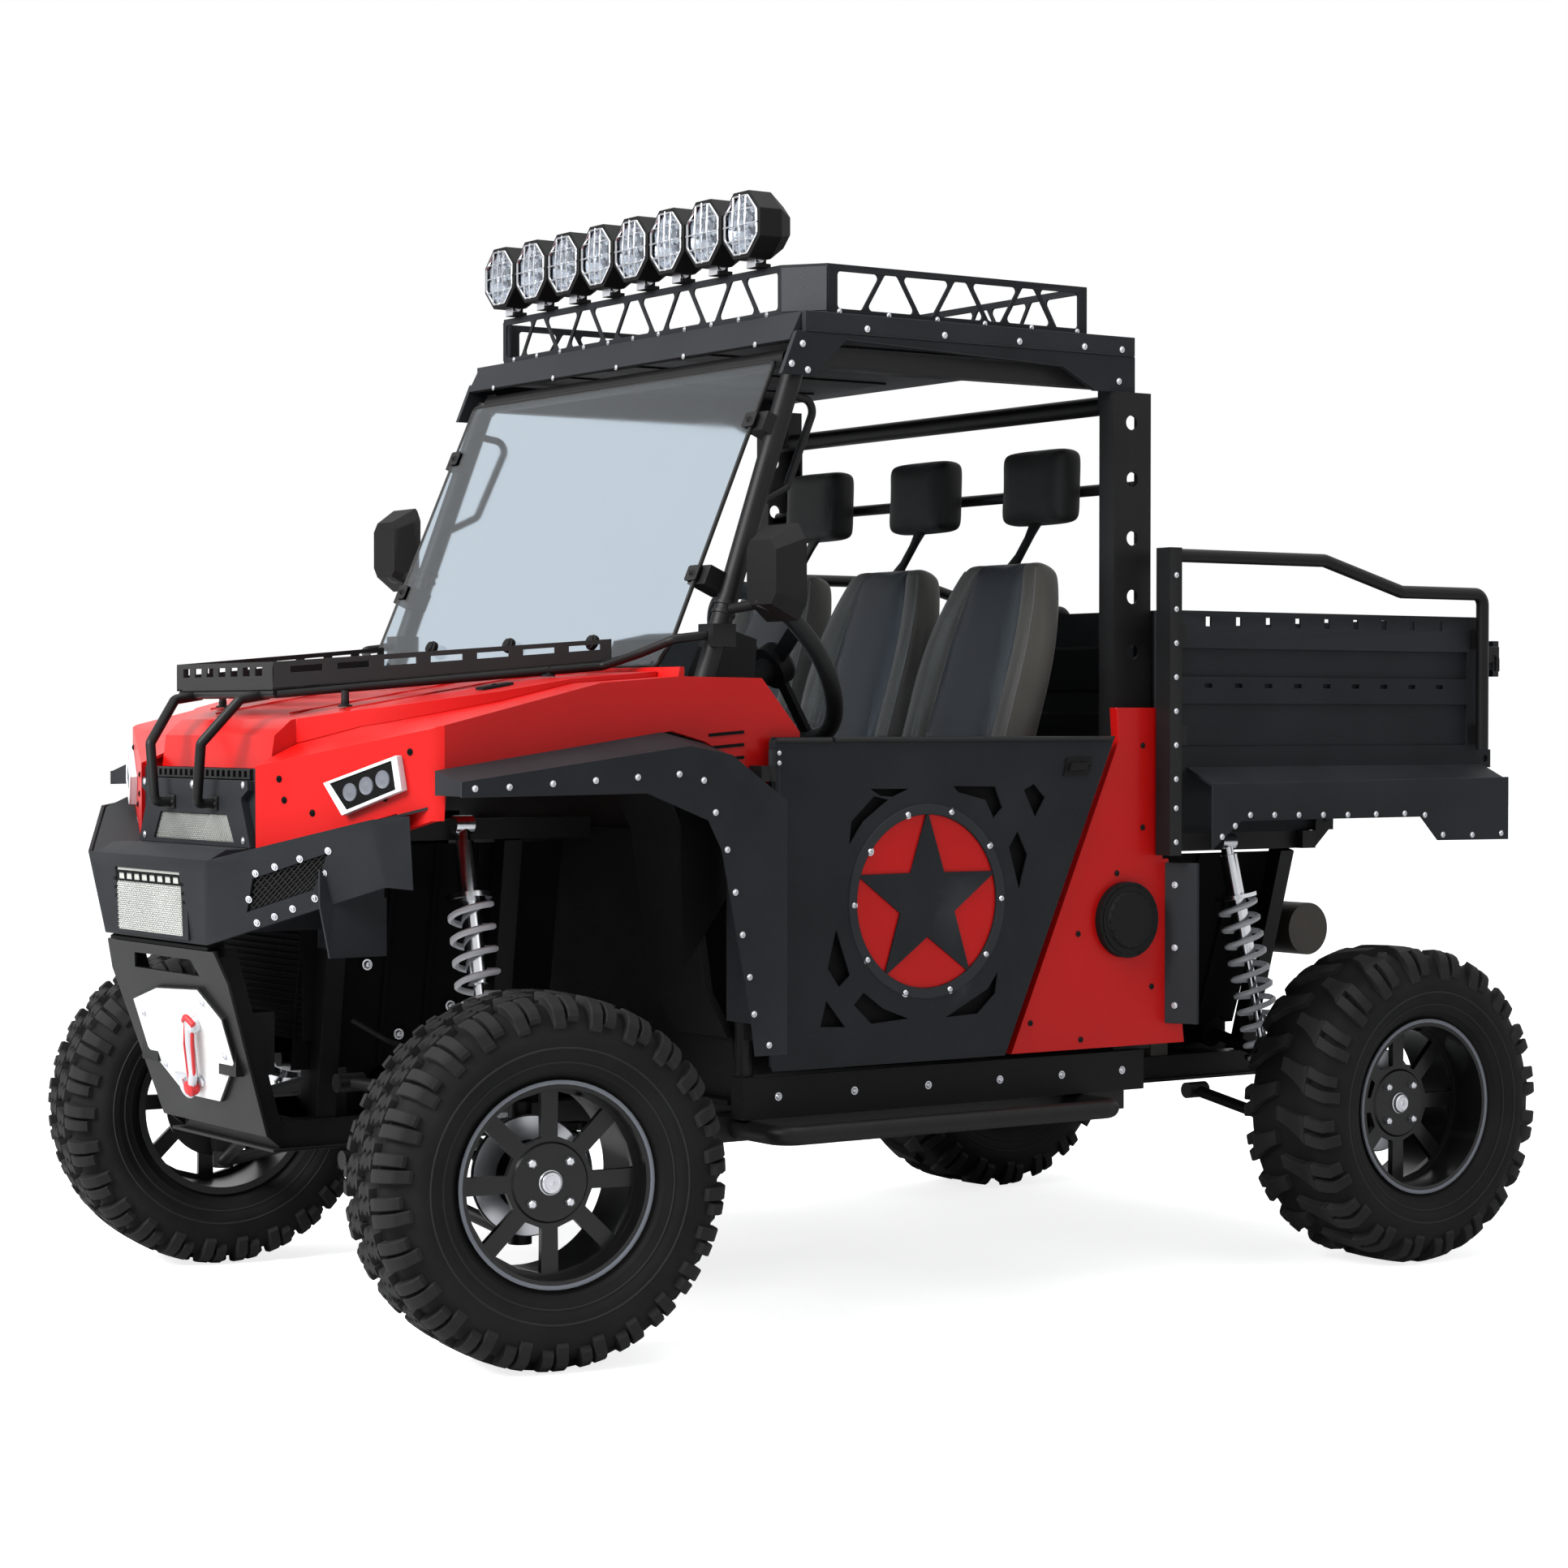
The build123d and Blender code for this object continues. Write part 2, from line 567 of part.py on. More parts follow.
# Red front panels: slanted cheeks for the headlamps, side panels back to the doors and a cowl under the hood
with BuildPart() as cowl:
    flat_plate(
        TOP_LINE + [(COWL_BACK_Y - 10, 1272.3), (COWL_BACK_Y, 1272.3), (COWL_BACK_Y, 1249)]
        + [(y, z - 6) for y, z in reversed(TOP_LINE)],
        Plane.YZ.offset(-672), 1344)
    flat_plate(
        [(-250, -1289), (250, -1289), (258, -1372), (657, -1217), (671, -1203), (671, COWL_BACK_Y + 1),
         (-671, COWL_BACK_Y + 1), (-671, -1203), (-657, -1217), (-258, -1372)],
        Plane.XY.offset(1000), 400, Mode.INTERSECT)
with BuildPart() as front_panels:
    flat_plate(
        [CHEEK_IN, CHEEK_OUT, (SIDE_PANEL_X, -1206), (SIDE_PANEL_X, -430), (SIDE_PANEL_X - 12, -430),
         (SIDE_PANEL_X - 12, -1202), (658, -1213), (CHEEK_IN[0], CHEEK_IN[1] + 13)],
        Plane.XY.offset(900), 400)
    slab((CHEEK_IN[0], -1372, 900), (CHEEK_IN[0] + 6, -1330, 1300))
    flat_plate(
        [(-1400, 1077)] + TOP_LINE + [(-518, 1252), (-425, 1143), (-425, 1310), (-1400, 1310)],
        Plane.YZ.offset(200), 500, Mode.SUBTRACT)
    flat_plate(
        [(200, 920), (305, 932), (586, 1002), (590, 968), (664, 990), (720, 990), (720, 890), (200, 890)],
        Plane.XZ.offset(1206), 200, Mode.SUBTRACT)
    flat_plate(
        [(-1206.5, 990), (-1200, 1083), (-722, 1151), (-645, 1130), (-493, 1035), (-425, 1128), (-425, 890),
         (-1206.5, 890)],
        Plane.YZ.offset(600), 100, Mode.SUBTRACT)
    mirror(about=Plane.YZ)
    add(cowl.part)
finish(front_panels, "front_panels")

# Headlamps, each a slanted four-sided lens standing on the cheek
with BuildPart() as headlamps:
    cheek = plane_through((*CHEEK_IN, 0), (*CHEEK_OUT, 0), (*CHEEK_IN, 1))
    lens = [(433, -1314, 1056), (598, -1250, 1108), (610, -1245, 1045), (475, -1297, 997)]
    flat_plate(outline_on(cheek, lens), cheek.offset(SEAT_GAP), 12)
    mirror(about=Plane.YZ)
finish(headlamps, "headlamps")

# Grille: a back plate, and a surround with a mesh panel set back in it
GRILLE_Y = -1388.0
LEDGE_Z = 932.0
with BuildPart() as grille:
    low = LEDGE_Z + SEAT_GAP
    flat_plate([(-261.7, low), (261.7, low), (261.7, 1079.7), (-261.7, 1079.7)], Plane.XZ.offset(1358), 14)
    flat_plate(
        [(-256, low), (256, low), (214, 1024), (244, 1040), (240, 1058), (-240, 1058), (-244, 1040), (-214, 1024)],
        Plane.XZ.offset(1371), -GRILLE_Y - 1371)
    flat_plate([(-184, 940), (184, 940), (152, 992), (-152, 992)], Plane.XZ.offset(-GRILLE_Y - 9), 20, Mode.SUBTRACT)
finish(grille, "grille")

# Bumper: folded plate with a flat centre and two swept wings, ledges on top and mounts behind
BUMPER_T = 6.0
FOLDS = (
    ((275.0, -OVERHANG_Y, 912.0), (235.0, -1469.0, 752.0)), ((610.0, -1318.0, 993.0), (605.0, -1289.0, 870.0)),
    ((648.0, -1262.0, 1002.0), (636.0, -1248.0, 862.0)))
LEDGE = ((275.0, -1484.0, 909.0), (608.0, -1318.0, 990.0), (262.0, -1388.0, 927.0))


def fold_at(fold, z):
    """Where the line of a fold crosses a height."""
    share = (z - fold[1][2]) / (fold[0][2] - fold[1][2])
    return tuple(low + (high - low) * share for high, low in zip(fold[0][:2], fold[1][:2]))


with BuildPart() as wing_ledge:
    flat_plate(
        [(272, -1478.5), (600, -1311.5), (640, -1250), (655, -1228.2), (CHEEK_IN[0] + 1, CHEEK_IN[1]), (262.5, -1395)],
        Plane.XY.offset(880), 200)
    top = plane_through(*LEDGE)
    flat_plate([(-500, -500), (900, -500), (900, 900), (-500, 900)], top, -5, Mode.INTERSECT)
with BuildPart() as bumper:
    for z in (735.0, 1010.0):
        half_line = [fold_at(fold, z) for fold in FOLDS]
        line = [(-x, y) for x, y in reversed(half_line)] + half_line
        with BuildSketch(Plane.XY.offset(z)):
            with BuildLine():
                Polyline(*line, *reversed(inset(line, BUMPER_T)), close=True)
            make_face()
    loft(ruled=True)
    for side in (1, -1):
        flat_plate(
            [(side * 274, 914), (side * 275, 912), (side * 610, 993), (side * 700, 1008), (side * 700, 1020),
             (side * 274, 1020)], Plane.XZ.offset(1200), 400, Mode.SUBTRACT)
        flat_plate(
            [(side * 200, 752), (side * 235, 752), (side * 605, 870), (side * 700, 855), (side * 700, 725),
             (side * 200, 725)], Plane.XZ.offset(1200), 400, Mode.SUBTRACT)
    slab((-280, -1520, 912), (280, -1440, 1020), Mode.SUBTRACT)
    slab((-210, -1520, 720), (210, -1440, 752), Mode.SUBTRACT)
    slab((-150, -1500, 764), (150, -1440, 886), Mode.SUBTRACT)
    wing = plane_through(FOLDS[0][0], FOLDS[1][0], FOLDS[1][1])
    window = [(358, -1432, 880), (514, -1356, 931), (470, -1364, 862), (331, -1431, 817)]
    for points in (window, [(-x, y, z) for x, y, z in window]):
        face = wing if points is window else plane_through(
            *[(-x, y, z) for x, y, z in (FOLDS[0][0], FOLDS[1][1], FOLDS[1][0])])
        flat_plate(outline_on(face, points), face.offset(-6), 14, Mode.SUBTRACT)
    flat_plate(
        [(-1475, 758), (-1479, 890), (-1475, 890), (-1461, 758)], Plane.YZ.offset(-170), 340)
    flat_plate(
        [(-1480, 903), (-1435, 920), (-1362, 925), (-1362, LEDGE_Z), (-1440, LEDGE_Z - 2), (-1480, 909)],
        Plane.YZ.offset(-261), 522)
    for side in (1, -1):
        bar((side * 240, -1462, 800), (side * 240, -1230.3, 800), 36, 50)
        slab((side * 230, -1236.3, 738), (side * 500, -1230.3, 845))
        flat_plate(
            [(-1366, 836), (-1346, 738), (-1235, 738), (-1235, 900), (-1366, 900)], Plane.YZ.offset(side * 497 - 3), 6)
    add(wing_ledge.part)
    add(mirror(wing_ledge.part, about=Plane.YZ, mode=Mode.PRIVATE))
finish(bumper, "bumper")

# Winch: drum and motor in a slanted frame under the bumper, behind a fairlead plate
WINCH_TOP = (-1462.0, 745.0)
WINCH_FOOT = (-1346.0, 385.0)
with BuildPart() as winch:
    rod((-150, -1350, 560), (150, -1350, 560), 50)
    front = plane_through((0, *WINCH_FOOT), (1, *WINCH_FOOT), (0, *WINCH_TOP))
    frame = [(-235, 0), (235, 0), (268, 310), (246, 372), (-246, 372), (-268, 310)]
    flat_plate(frame, front, -5)
    flat_plate([(-150, 318), (150, 318), (130, 350), (-130, 350)], front.offset(-10), 20, Mode.SUBTRACT)
    for side in (1, -1):
        flat_plate(
            [(-1457, 740), (-1400, 740), (RAIL_FRONT_Y - SEAT_GAP, 410), (RAIL_FRONT_Y - SEAT_GAP, 362), (-1340, 385)],
            Plane.YZ.offset(side * 218 - 3), 6)
        slab((side * 140, -1400, 500), (side * 216, -1320, 620))
    fairlead = [(-188, -1426, 627), (-53, -1436, 657), (144, -1438, 666), (215, -1421, 612), (212, -1394, 526),
                (91, -1366, 441), (-70, -1366, 441), (-188, -1394, 526)]
    flat_plate(outline_on(front, fairlead), front.offset(-1), 9)
finish(winch, "winch")


# Front flares: slanted top over the wheel, a face with a lip and a leg down to the sill
FLARE_LINES = (
    (FLARE_FRONT_Y, 1081.0, 1062.0), (-745.0, 1149.0, 1124.0), (-652.0, 1128.0, 1107.0), (-556.0, 1070.0, 1039.0))
with BuildPart() as front_flares:
    for y, inner_z, outer_z in FLARE_LINES:
        with BuildSketch(Plane.XZ.offset(-y)):
            with BuildLine():
                Polyline(
                    (SIDE_PANEL_X + SEAT_GAP, inner_z), (FLARE_X - 2, outer_z - 1), (FLARE_X - 2, outer_z - 5),
                    (SIDE_PANEL_X + SEAT_GAP, inner_z - 4), close=True)
            make_face()
    loft(ruled=True)
    flat_plate(
        [(y - 0.5 if y == FLARE_FRONT_Y else y, outer_z) for y, inner_z, outer_z in FLARE_LINES]
        + [(-528, 1020), (-528, 540), (-600, 540), (-610, 612), (-674, 929), (-704, 985), (-838, 1037),
           (FLARE_FRONT_Y - 0.5, 1034)],
        Plane.YZ.offset(FLARE_X - PANEL_T), PANEL_T)
    flat_plate(
        [(SIDE_PANEL_X + SEAT_GAP, 1079), (FLARE_X - 2, 1060), (FLARE_X - 2, 1036), (SIDE_PANEL_X + SEAT_GAP, 1036)],
        Plane.XZ.offset(-FLARE_FRONT_Y), -PANEL_T)
    slab((SIDE_PANEL_X + SEAT_GAP, -600, 600), (FLARE_X - 2, -596, 1040))
    mirror(about=Plane.YZ)
finish(front_flares, "front_flares")

# Black arch liners behind the front wheels, lying on the toe board
with BuildPart() as arch_liners:
    flat_plate(
        [(-548.4, 560), (-600.4, 650), (-648.4, 960), (-700, 1060), (-706, 1054), (-660, 960), (-612, 652),
         (-560, 560)],
        Plane.YZ.offset(430), 192)
    mirror(about=Plane.YZ)
finish(arch_liners, "arch_liners")

# Red quarter panels behind the doors
with BuildPart() as quarter_panels:
    flat_plate(
        [(72, 500), (351, 1128), (346, 1197), (470, 1197), (470, 884), (486, 884), (530, 500)],
        Plane.YZ.offset(BODY_X - 24), 24)
    for z in (620.0, 1100.0):
        slab((660.3, 385, z), (BODY_X - 20, 440, z + 40))
    mirror(about=Plane.YZ)
finish(quarter_panels, "quarter_panels")

# Fuel cap on the driver's side
with BuildPart() as fuel_cap:
    rod((BODY_X + SEAT_GAP, 367, 761), (BODY_X + 16, 367, 761), 78)
finish(fuel_cap, "fuel_cap")

# Mudguards ahead of the rear wheels
with BuildPart() as mudguards:
    with BuildSketch(Plane.XY.offset(542)):
        with BuildLine():
            Polyline((700.3, 476), (764, 508), (764, 514), (700.3, 482), close=True)
        make_face()
    extrude(amount=334)
    mirror(about=Plane.YZ)
finish(mudguards, "mudguards")

# Running boards: a tube loop with a stepped plate
with BuildPart() as running_boards:
    bent_tube([(625.3, -540, 385), (780, -540, 385), (784, 280, 386), (625.3, 280, 385)], 19, 40)
    slab((690, -500, 384), (764, 240, 390))
    mirror(about=Plane.YZ)
finish(running_boards, "running_boards")

# Roll cage: A pillar tubes, pierced B pillars, cross tubes, grab handles and the headrest bar
A_TOP = (612.0, -392.0, 1876.0)
A_FOOT = (640.0, -648.0, 1180.0)
SCREEN_TOP = (-428.0, 1868.0)
SCREEN_FOOT = (-668.0, 1322.0)
SCREEN_SLOPE = (SCREEN_TOP[0] - SCREEN_FOOT[0]) / (SCREEN_TOP[1] - SCREEN_FOOT[1])
SCREEN_CLAMPS = ((1450.0, 58.0), (1750.0, 40.0))
PILLAR_WALL = 5.0
PILLAR_HOLES = ((418, 1787), (420, 1670), (420, 1548), (421, 1427), (422, 1313))
GRIP_SHARES = (0.58, 0.9)
with BuildPart() as cage:
    for side in (1, -1):
        rod((side * A_FOOT[0], A_FOOT[1], A_FOOT[2]), (side * A_TOP[0], A_TOP[1], A_TOP[2]), 21)
        slab((side * 636 - 24, 371, 488 + SEAT_GAP), (side * 636 + 24, 470, 1849.7))
        slab(
            (side * 636 - side * 25, 371 + PILLAR_WALL, 492), (side * (660 - PILLAR_WALL), 470 - PILLAR_WALL, 1846),
            Mode.SUBTRACT)
        with BuildSketch(Plane.YZ.offset(side * 660 - 6)) as holes:
            with Locations(*PILLAR_HOLES):
                Circle(15)
        extrude(holes.sketch, amount=12, mode=Mode.SUBTRACT)
        grips = [Vector(A_FOOT) + (Vector(A_TOP) - Vector(A_FOOT)) * share for share in GRIP_SHARES]
        low, high = [Vector(side * spot.X, spot.Y, spot.Z) for spot in grips]
        bent_tube([low, low + Vector(-12 * side, 84, 40), high + Vector(-12 * side, 78, -14), high], 8, 24)
        bar((side * 591.7, -392, 1880), (side * 591.7, 440, 1880), 40, 40)
        slab((side * 571.7, 400, 1820), (side * 611.8, 440, 1880))
        rod((side * A_FOOT[0], A_FOOT[1], A_FOOT[2]), (side * 644, -538, 1120), 20)
        away = Vector(0, 1, -SCREEN_SLOPE).normalized()
        for z, reach in SCREEN_CLAMPS:
            on_glass = Vector(side * 604, SCREEN_FOOT[0] + (z - SCREEN_FOOT[1]) * SCREEN_SLOPE, z)
            bar(on_glass + away * SEAT_GAP, on_glass + away * reach, 56, 40)
        rack_clamp = Vector(*A_FOOT) + (Vector(*A_TOP) - Vector(*A_FOOT)) * 0.22
        slab(
            (side * rack_clamp.X - 26, rack_clamp.Y - 26, rack_clamp.Z - 22),
            (side * rack_clamp.X + 26, rack_clamp.Y + 26, rack_clamp.Z + 22))
        rod((side * 644, -538, 488 + SEAT_GAP), (side * 644, -538, 1150), 18)
        for z in DOOR_HINGES:
            hinge = (side * DOOR_HINGE_X, DOOR_HINGE_Y, z - 15)
            inner = 650 if z == DOOR_HINGES[0] else SIDE_PANEL_X + SEAT_GAP
            slab((side * inner, -548, z - 30), (side * (DOOR_HINGE_X + 3), -542, z))
            slab((side * DOOR_HINGE_X - 3, -542, z - 30), (side * DOOR_HINGE_X + 3, DOOR_HINGE_Y, z))
            with Locations(hinge):
                Cylinder(DOOR_BARREL_R, 30)
            rod((hinge[0], hinge[1], z), (hinge[0], hinge[1], z + 28), DOOR_PIN_R)
    rod((-590.7, -392, 1876), (590.7, -392, 1876), 20)
    rod((-654.7, 420, 1829), (654.7, 420, 1829), 20)
    rod((-654.7, 430.3, 1655), (654.7, 430.3, 1655), 12)
finish(cage, "cage")

# Windscreen in front of the A pillars, standing on the cowl
with BuildPart() as windscreen:
    rise = Vector(0, SCREEN_TOP[0] - SCREEN_FOOT[0], SCREEN_TOP[1] - SCREEN_FOOT[1])
    glass = Plane(origin=(0, *SCREEN_FOOT), x_dir=(1, 0, 0), z_dir=Vector(1, 0, 0).cross(rise))
    flat_plate(
        [(-575, -53.6), (575, -53.6), (600, 0), (596, rise.length), (-596, rise.length), (-600, 0)], glass, GLASS_T)
finish(windscreen, "windscreen")

# Roof: slab with folded fascias whose corner legs come down over the pillars
with BuildPart() as roof:
    slab((-ROOF_X, ROOF_FRONT_Y, ROOF_Z - ROOF_T), (ROOF_X, ROOF_REAR_Y, ROOF_Z))
    for side in (1, -1):
        flat_plate(
            [(ROOF_FRONT_Y - 20, ROOF_Z - ROOF_T - SEAT_GAP), (-452, LEG_Z), (-376, LEG_Z), (-300, 1912), (244, 1893),
             (330, 1850), (ROOF_REAR_Y, 1850), (ROOF_REAR_Y, ROOF_Z - ROOF_T - SEAT_GAP)],
            Plane.YZ.offset(side * ROOF_X - (FASCIA_T if side == 1 else 0)), FASCIA_T)
    flat_plate(
        [(ROOF_FRONT_Y - SEAT_GAP, ROOF_Z), (ROOF_FRONT_Y - 30, 1908), (ROOF_FRONT_Y - 18, 1905),
         (ROOF_FRONT_Y - SEAT_GAP, 1926)],
        Plane.YZ.offset(-ROOF_X + FASCIA_T + SEAT_GAP), 2 * (ROOF_X - FASCIA_T - SEAT_GAP))
    deck = [(RACK_FRONT_X - 7, RACK_FRONT_Y + RACK_T + 2), (RACK_X - RACK_T - 2, RACK_CORNER_Y + 6),
            (RACK_X - RACK_T - 2, RACK_REAR_Y - RACK_T - 2)]
    flat_plate(
        deck + [(-x, y) for x, y in reversed(deck)], Plane.XY.offset(ROOF_Z), DECK_T)
finish(roof, "roof")



def truss(length, height, cells, end, strut):
    """Cut-outs of a zigzag truss, from the middle of its length and its foot."""
    pitch = (length - 2 * end) / cells
    low, high = 12.0, height - 14.0
    for cell in range(cells):
        edges = []
        for number, away in ((cell, 1), (cell + 1, -1)):
            middle = end - length / 2 + number * pitch
            outer = number in (0, cells)
            lean = 0 if outer else (pitch * 0.26 if number % 2 else -pitch * 0.26)
            move = 0 if outer else away * strut / 2
            edges.append((middle + move - lean, middle + move + lean))
        (left_low, left_high), (right_low, right_high) = edges
        with BuildSketch(mode=Mode.PRIVATE) as hole:
            with BuildLine():
                Polyline((left_low, low), (right_low, low), (right_high, high), (left_high, high), close=True)
            make_face()
            fillet(hole.vertices(), 8)
        add(hole.sketch, mode=Mode.SUBTRACT)


def truss_panel(plane, length, height, cells, end):
    """A plate with a zigzag truss cut in it; the plane's x runs along it and y up."""
    with BuildSketch(plane) as panel:
        with Locations((0, height / 2)):
            Rectangle(length, height)
        truss(length, height, cells, end, 11)
    extrude(panel.sketch, amount=-RACK_T)


# Roof rack: front truss, solid corner panels, truss sides
with BuildPart() as roof_rack:
    base = ROOF_Z + SEAT_GAP
    rack_h = RACK_Z - base
    truss_panel(Plane(origin=(0, RACK_FRONT_Y, base), x_dir=(1, 0, 0), z_dir=(0, -1, 0)),
                2 * RACK_FRONT_X, rack_h, 11, 10)
    truss_panel(Plane(origin=(0, RACK_REAR_Y, base), x_dir=(-1, 0, 0), z_dir=(0, 1, 0)), 2 * RACK_X, rack_h, 13, 26)
    side_len = RACK_REAR_Y - RACK_CORNER_Y
    for side in (1, -1):
        truss_panel(
            Plane(origin=(side * RACK_X, (RACK_REAR_Y + RACK_CORNER_Y) / 2, base), x_dir=(0, side, 0),
                  z_dir=(side, 0, 0)), side_len, rack_h, 7, 24)
        with BuildSketch(Plane.XY.offset(base)) as corner:
            with BuildLine():
                Polyline(
                    (side * RACK_FRONT_X, RACK_FRONT_Y), (side * RACK_X, RACK_CORNER_Y),
                    (side * RACK_X - side * RACK_T, RACK_CORNER_Y + 2),
                    (side * RACK_FRONT_X - side * 2, RACK_FRONT_Y + RACK_T), close=True)
            make_face()
        extrude(corner.sketch, amount=rack_h)
finish(roof_rack, "roof_rack")

# Roof lamps on the rack's front rail
with BuildPart() as roof_lamps:
    for index in range(LAMPS):
        x = -LAMP_SPAN / 2 + LAMP_SPAN * index / (LAMPS - 1)
        face = Plane(origin=(x, LAMP_Y, LAMP_Z), x_dir=(1, 0, 0), z_dir=(0, -1, 0))
        corner_r = LAMP_R / math.cos(math.pi / 8)
        for near, far, wide, slim in ((-10, 42, 1.0, 1.0), (-48, -10, 0.62, 1.0)):
            with BuildSketch(face.offset(near)):
                RegularPolygon(corner_r * wide, 8, rotation=22.5)
            with BuildSketch(face.offset(far)):
                RegularPolygon(corner_r * slim, 8, rotation=22.5)
            loft(ruled=True)
        with BuildSketch(face.offset(42)):
            RegularPolygon(LAMP_R - 7, 8, rotation=22.5)
        extrude(amount=-22, mode=Mode.SUBTRACT)
        slab((x - 20, LAMP_Y - 16, RACK_Z + SEAT_GAP), (x + 20, LAMP_Y + 16, RACK_Z + 8))
        slab((x - 9, LAMP_Y - 12, RACK_Z + 4), (x + 9, LAMP_Y + 12, LAMP_Z - LAMP_R + 6))
finish(roof_lamps, "roof_lamps")

# Hood rack: a shallow slotted tray on a tube frame, with bent front legs, posts and arms to the A pillars
RACK_FRONT = (219.0, -1322.0, 1229.0)
RACK_BACK = (471.0, -728.0, 1285.0)
RACK_H = (53.0, 43.0)
with BuildPart() as hood_rack:
    front_z, back_z = RACK_FRONT[2], RACK_BACK[2]
    tray = plane_through((0, *RACK_FRONT[1:]), (1, *RACK_FRONT[1:]), (0, *RACK_BACK[1:]))
    deck = [RACK_FRONT, RACK_BACK, (-RACK_BACK[0], *RACK_BACK[1:]), (-RACK_FRONT[0], *RACK_FRONT[1:])]
    flat_plate(outline_on(tray, deck), tray, 4)
    with BuildSketch(tray):
        for place in range(6):
            with Locations((0, 70 + 88 * place)):
                Rectangle(330 + 66 * place, 46)
    extrude(amount=8, both=True, mode=Mode.SUBTRACT)
    slab((-RACK_FRONT[0], RACK_FRONT[1], front_z), (RACK_FRONT[0], RACK_FRONT[1] + 3, front_z + RACK_H[0]))
    for side in (1, -1):
        corners = [
            (side * RACK_FRONT[0], *RACK_FRONT[1:]), (side * RACK_BACK[0], *RACK_BACK[1:]),
            (side * RACK_BACK[0], RACK_BACK[1], back_z + RACK_H[1]),
            (side * RACK_FRONT[0], RACK_FRONT[1], front_z + RACK_H[0])]
        wall = plane_through(corners[0], corners[1], corners[2])
        flat_plate(outline_on(wall, corners), wall, -3 * side)
        bent_tube(
            [(side * 98, GRILLE_Y - SEAT_GAP, 1012), (side * 98, -1424, 1012), (side * 117, -1424, 1127),
             (side * 150, -1357, 1212), (side * 152, -1300, 1221)], 10, 14)
        bent_tube(
            [(side * 214, -1312, 1222), (side * 462, -742, 1276), (side * 560, -716, 1300), (side * 634, -690, 1325),
             (side * 634, -619.3, 1333)],
            9, 22)
        rod((side * 272, -1198, 1222), (side * 272, -1198, 1196.8), 8)
        rod((side * 420, -840, 1268), (side * 420, -840, 1255.0), 8)
    rod((-214, -1312, 1222), (214, -1312, 1222), 9)
finish(hood_rack, "hood_rack")

# Mirrors on ball arms at the A pillars
MIRROR_OUTLINE = ((-75, -72), (-55, -92), (50, -92), (75, -60), (75, 62), (48, 92), (-58, 92), (-75, 66))
with BuildPart() as mirrors:
    for side, z, reach in ((1, 1450, 23.2), (-1, 1555, 22.0)):
        share = (z - 66 - A_FOOT[2]) / (A_TOP[2] - A_FOOT[2])
        foot = Vector(A_FOOT) + (Vector(A_TOP) - Vector(A_FOOT)) * share
        shell = Plane(origin=(side * 760, -525, z), x_dir=(1, 0, 0), z_dir=(0, -1, 0))
        for depth, scale in ((0, 1.0), (50, 0.66)):
            with BuildSketch(shell.offset(depth)):
                with BuildLine():
                    Polyline(*[(side * x * scale, y * scale) for x, y in MIRROR_OUTLINE], close=True)
                make_face()
        loft(ruled=True)
        rod((side * (foot.X + reach), foot.Y, z - 66), (side * 740, -552, z - 56), 10)
finish(mirrors, "mirrors")

# Dashboard across the cab with the steering column
COLUMN_FOOT = (370.0, -560.0, 1120.0)
WHEEL_HUB = (370.0, -280.0, 1284.0)
with BuildPart() as dashboard:
    flat_plate(
        [(-639.7, 960), (-639.7, 1200), (-610, 1250), (-560, 1262), (-440, 1205), (-420, 1080), (-500, 960)],
        Plane.YZ.offset(-600), 1200)
    flat_plate(
        [(-600, 1240), (-560, 1330), (-480, 1345), (-430, 1330), (-440, 1200)], Plane.YZ.offset(210), 320)
    column = Vector(*WHEEL_HUB) - Vector(*COLUMN_FOOT)
    end = Vector(*WHEEL_HUB) - column.normalized() * (18 + SEAT_GAP)
    rod(COLUMN_FOOT, end, 26)
finish(dashboard, "dashboard")

# Steering wheel: rim, three spokes and hub
STEERING_R = 172.0
with BuildPart() as steering_wheel:
    disc = Plane(origin=WHEEL_HUB, x_dir=(1, 0, 0), z_dir=column)
    with BuildSketch(Plane(origin=disc.from_local_coords((STEERING_R, 0, 0)), x_dir=disc.x_dir, z_dir=-disc.y_dir)):
        Circle(13)
    revolve(axis=Axis(disc.origin, disc.z_dir))
    with BuildSketch(disc.offset(-18)):
        Circle(46)
    extrude(amount=30)
    with BuildSketch(disc.offset(-6)):
        with PolarLocations(0, 3, start_angle=90):
            with Locations((STEERING_R / 2, 0)):
                Rectangle(STEERING_R, 30)
    extrude(amount=10)
finish(steering_wheel, "steering_wheel")

# Seat base, cushions, backs and headrests
BENCH_X = SEAT_PITCH + SEAT_W / 2 + 4
BENCH_Z = 790.0
with BuildPart() as seat_base:
    slab((-BENCH_X, -20, FLOOR_Z + SEAT_GAP), (BENCH_X, 360, BENCH_Z))
finish(seat_base, "seat_base")

with BuildPart() as seat_cushions:
    for index in (-1, 0, 1):
        x = index * SEAT_PITCH
        flat_plate(
            [(-50, BENCH_Z + SEAT_GAP), (300, BENCH_Z + SEAT_GAP), (300, 890), (60, 880), (-30, 900), (-50, 880)],
            Plane.YZ.offset(x - SEAT_W / 2), SEAT_W)
finish(seat_cushions, "seat_cushions")

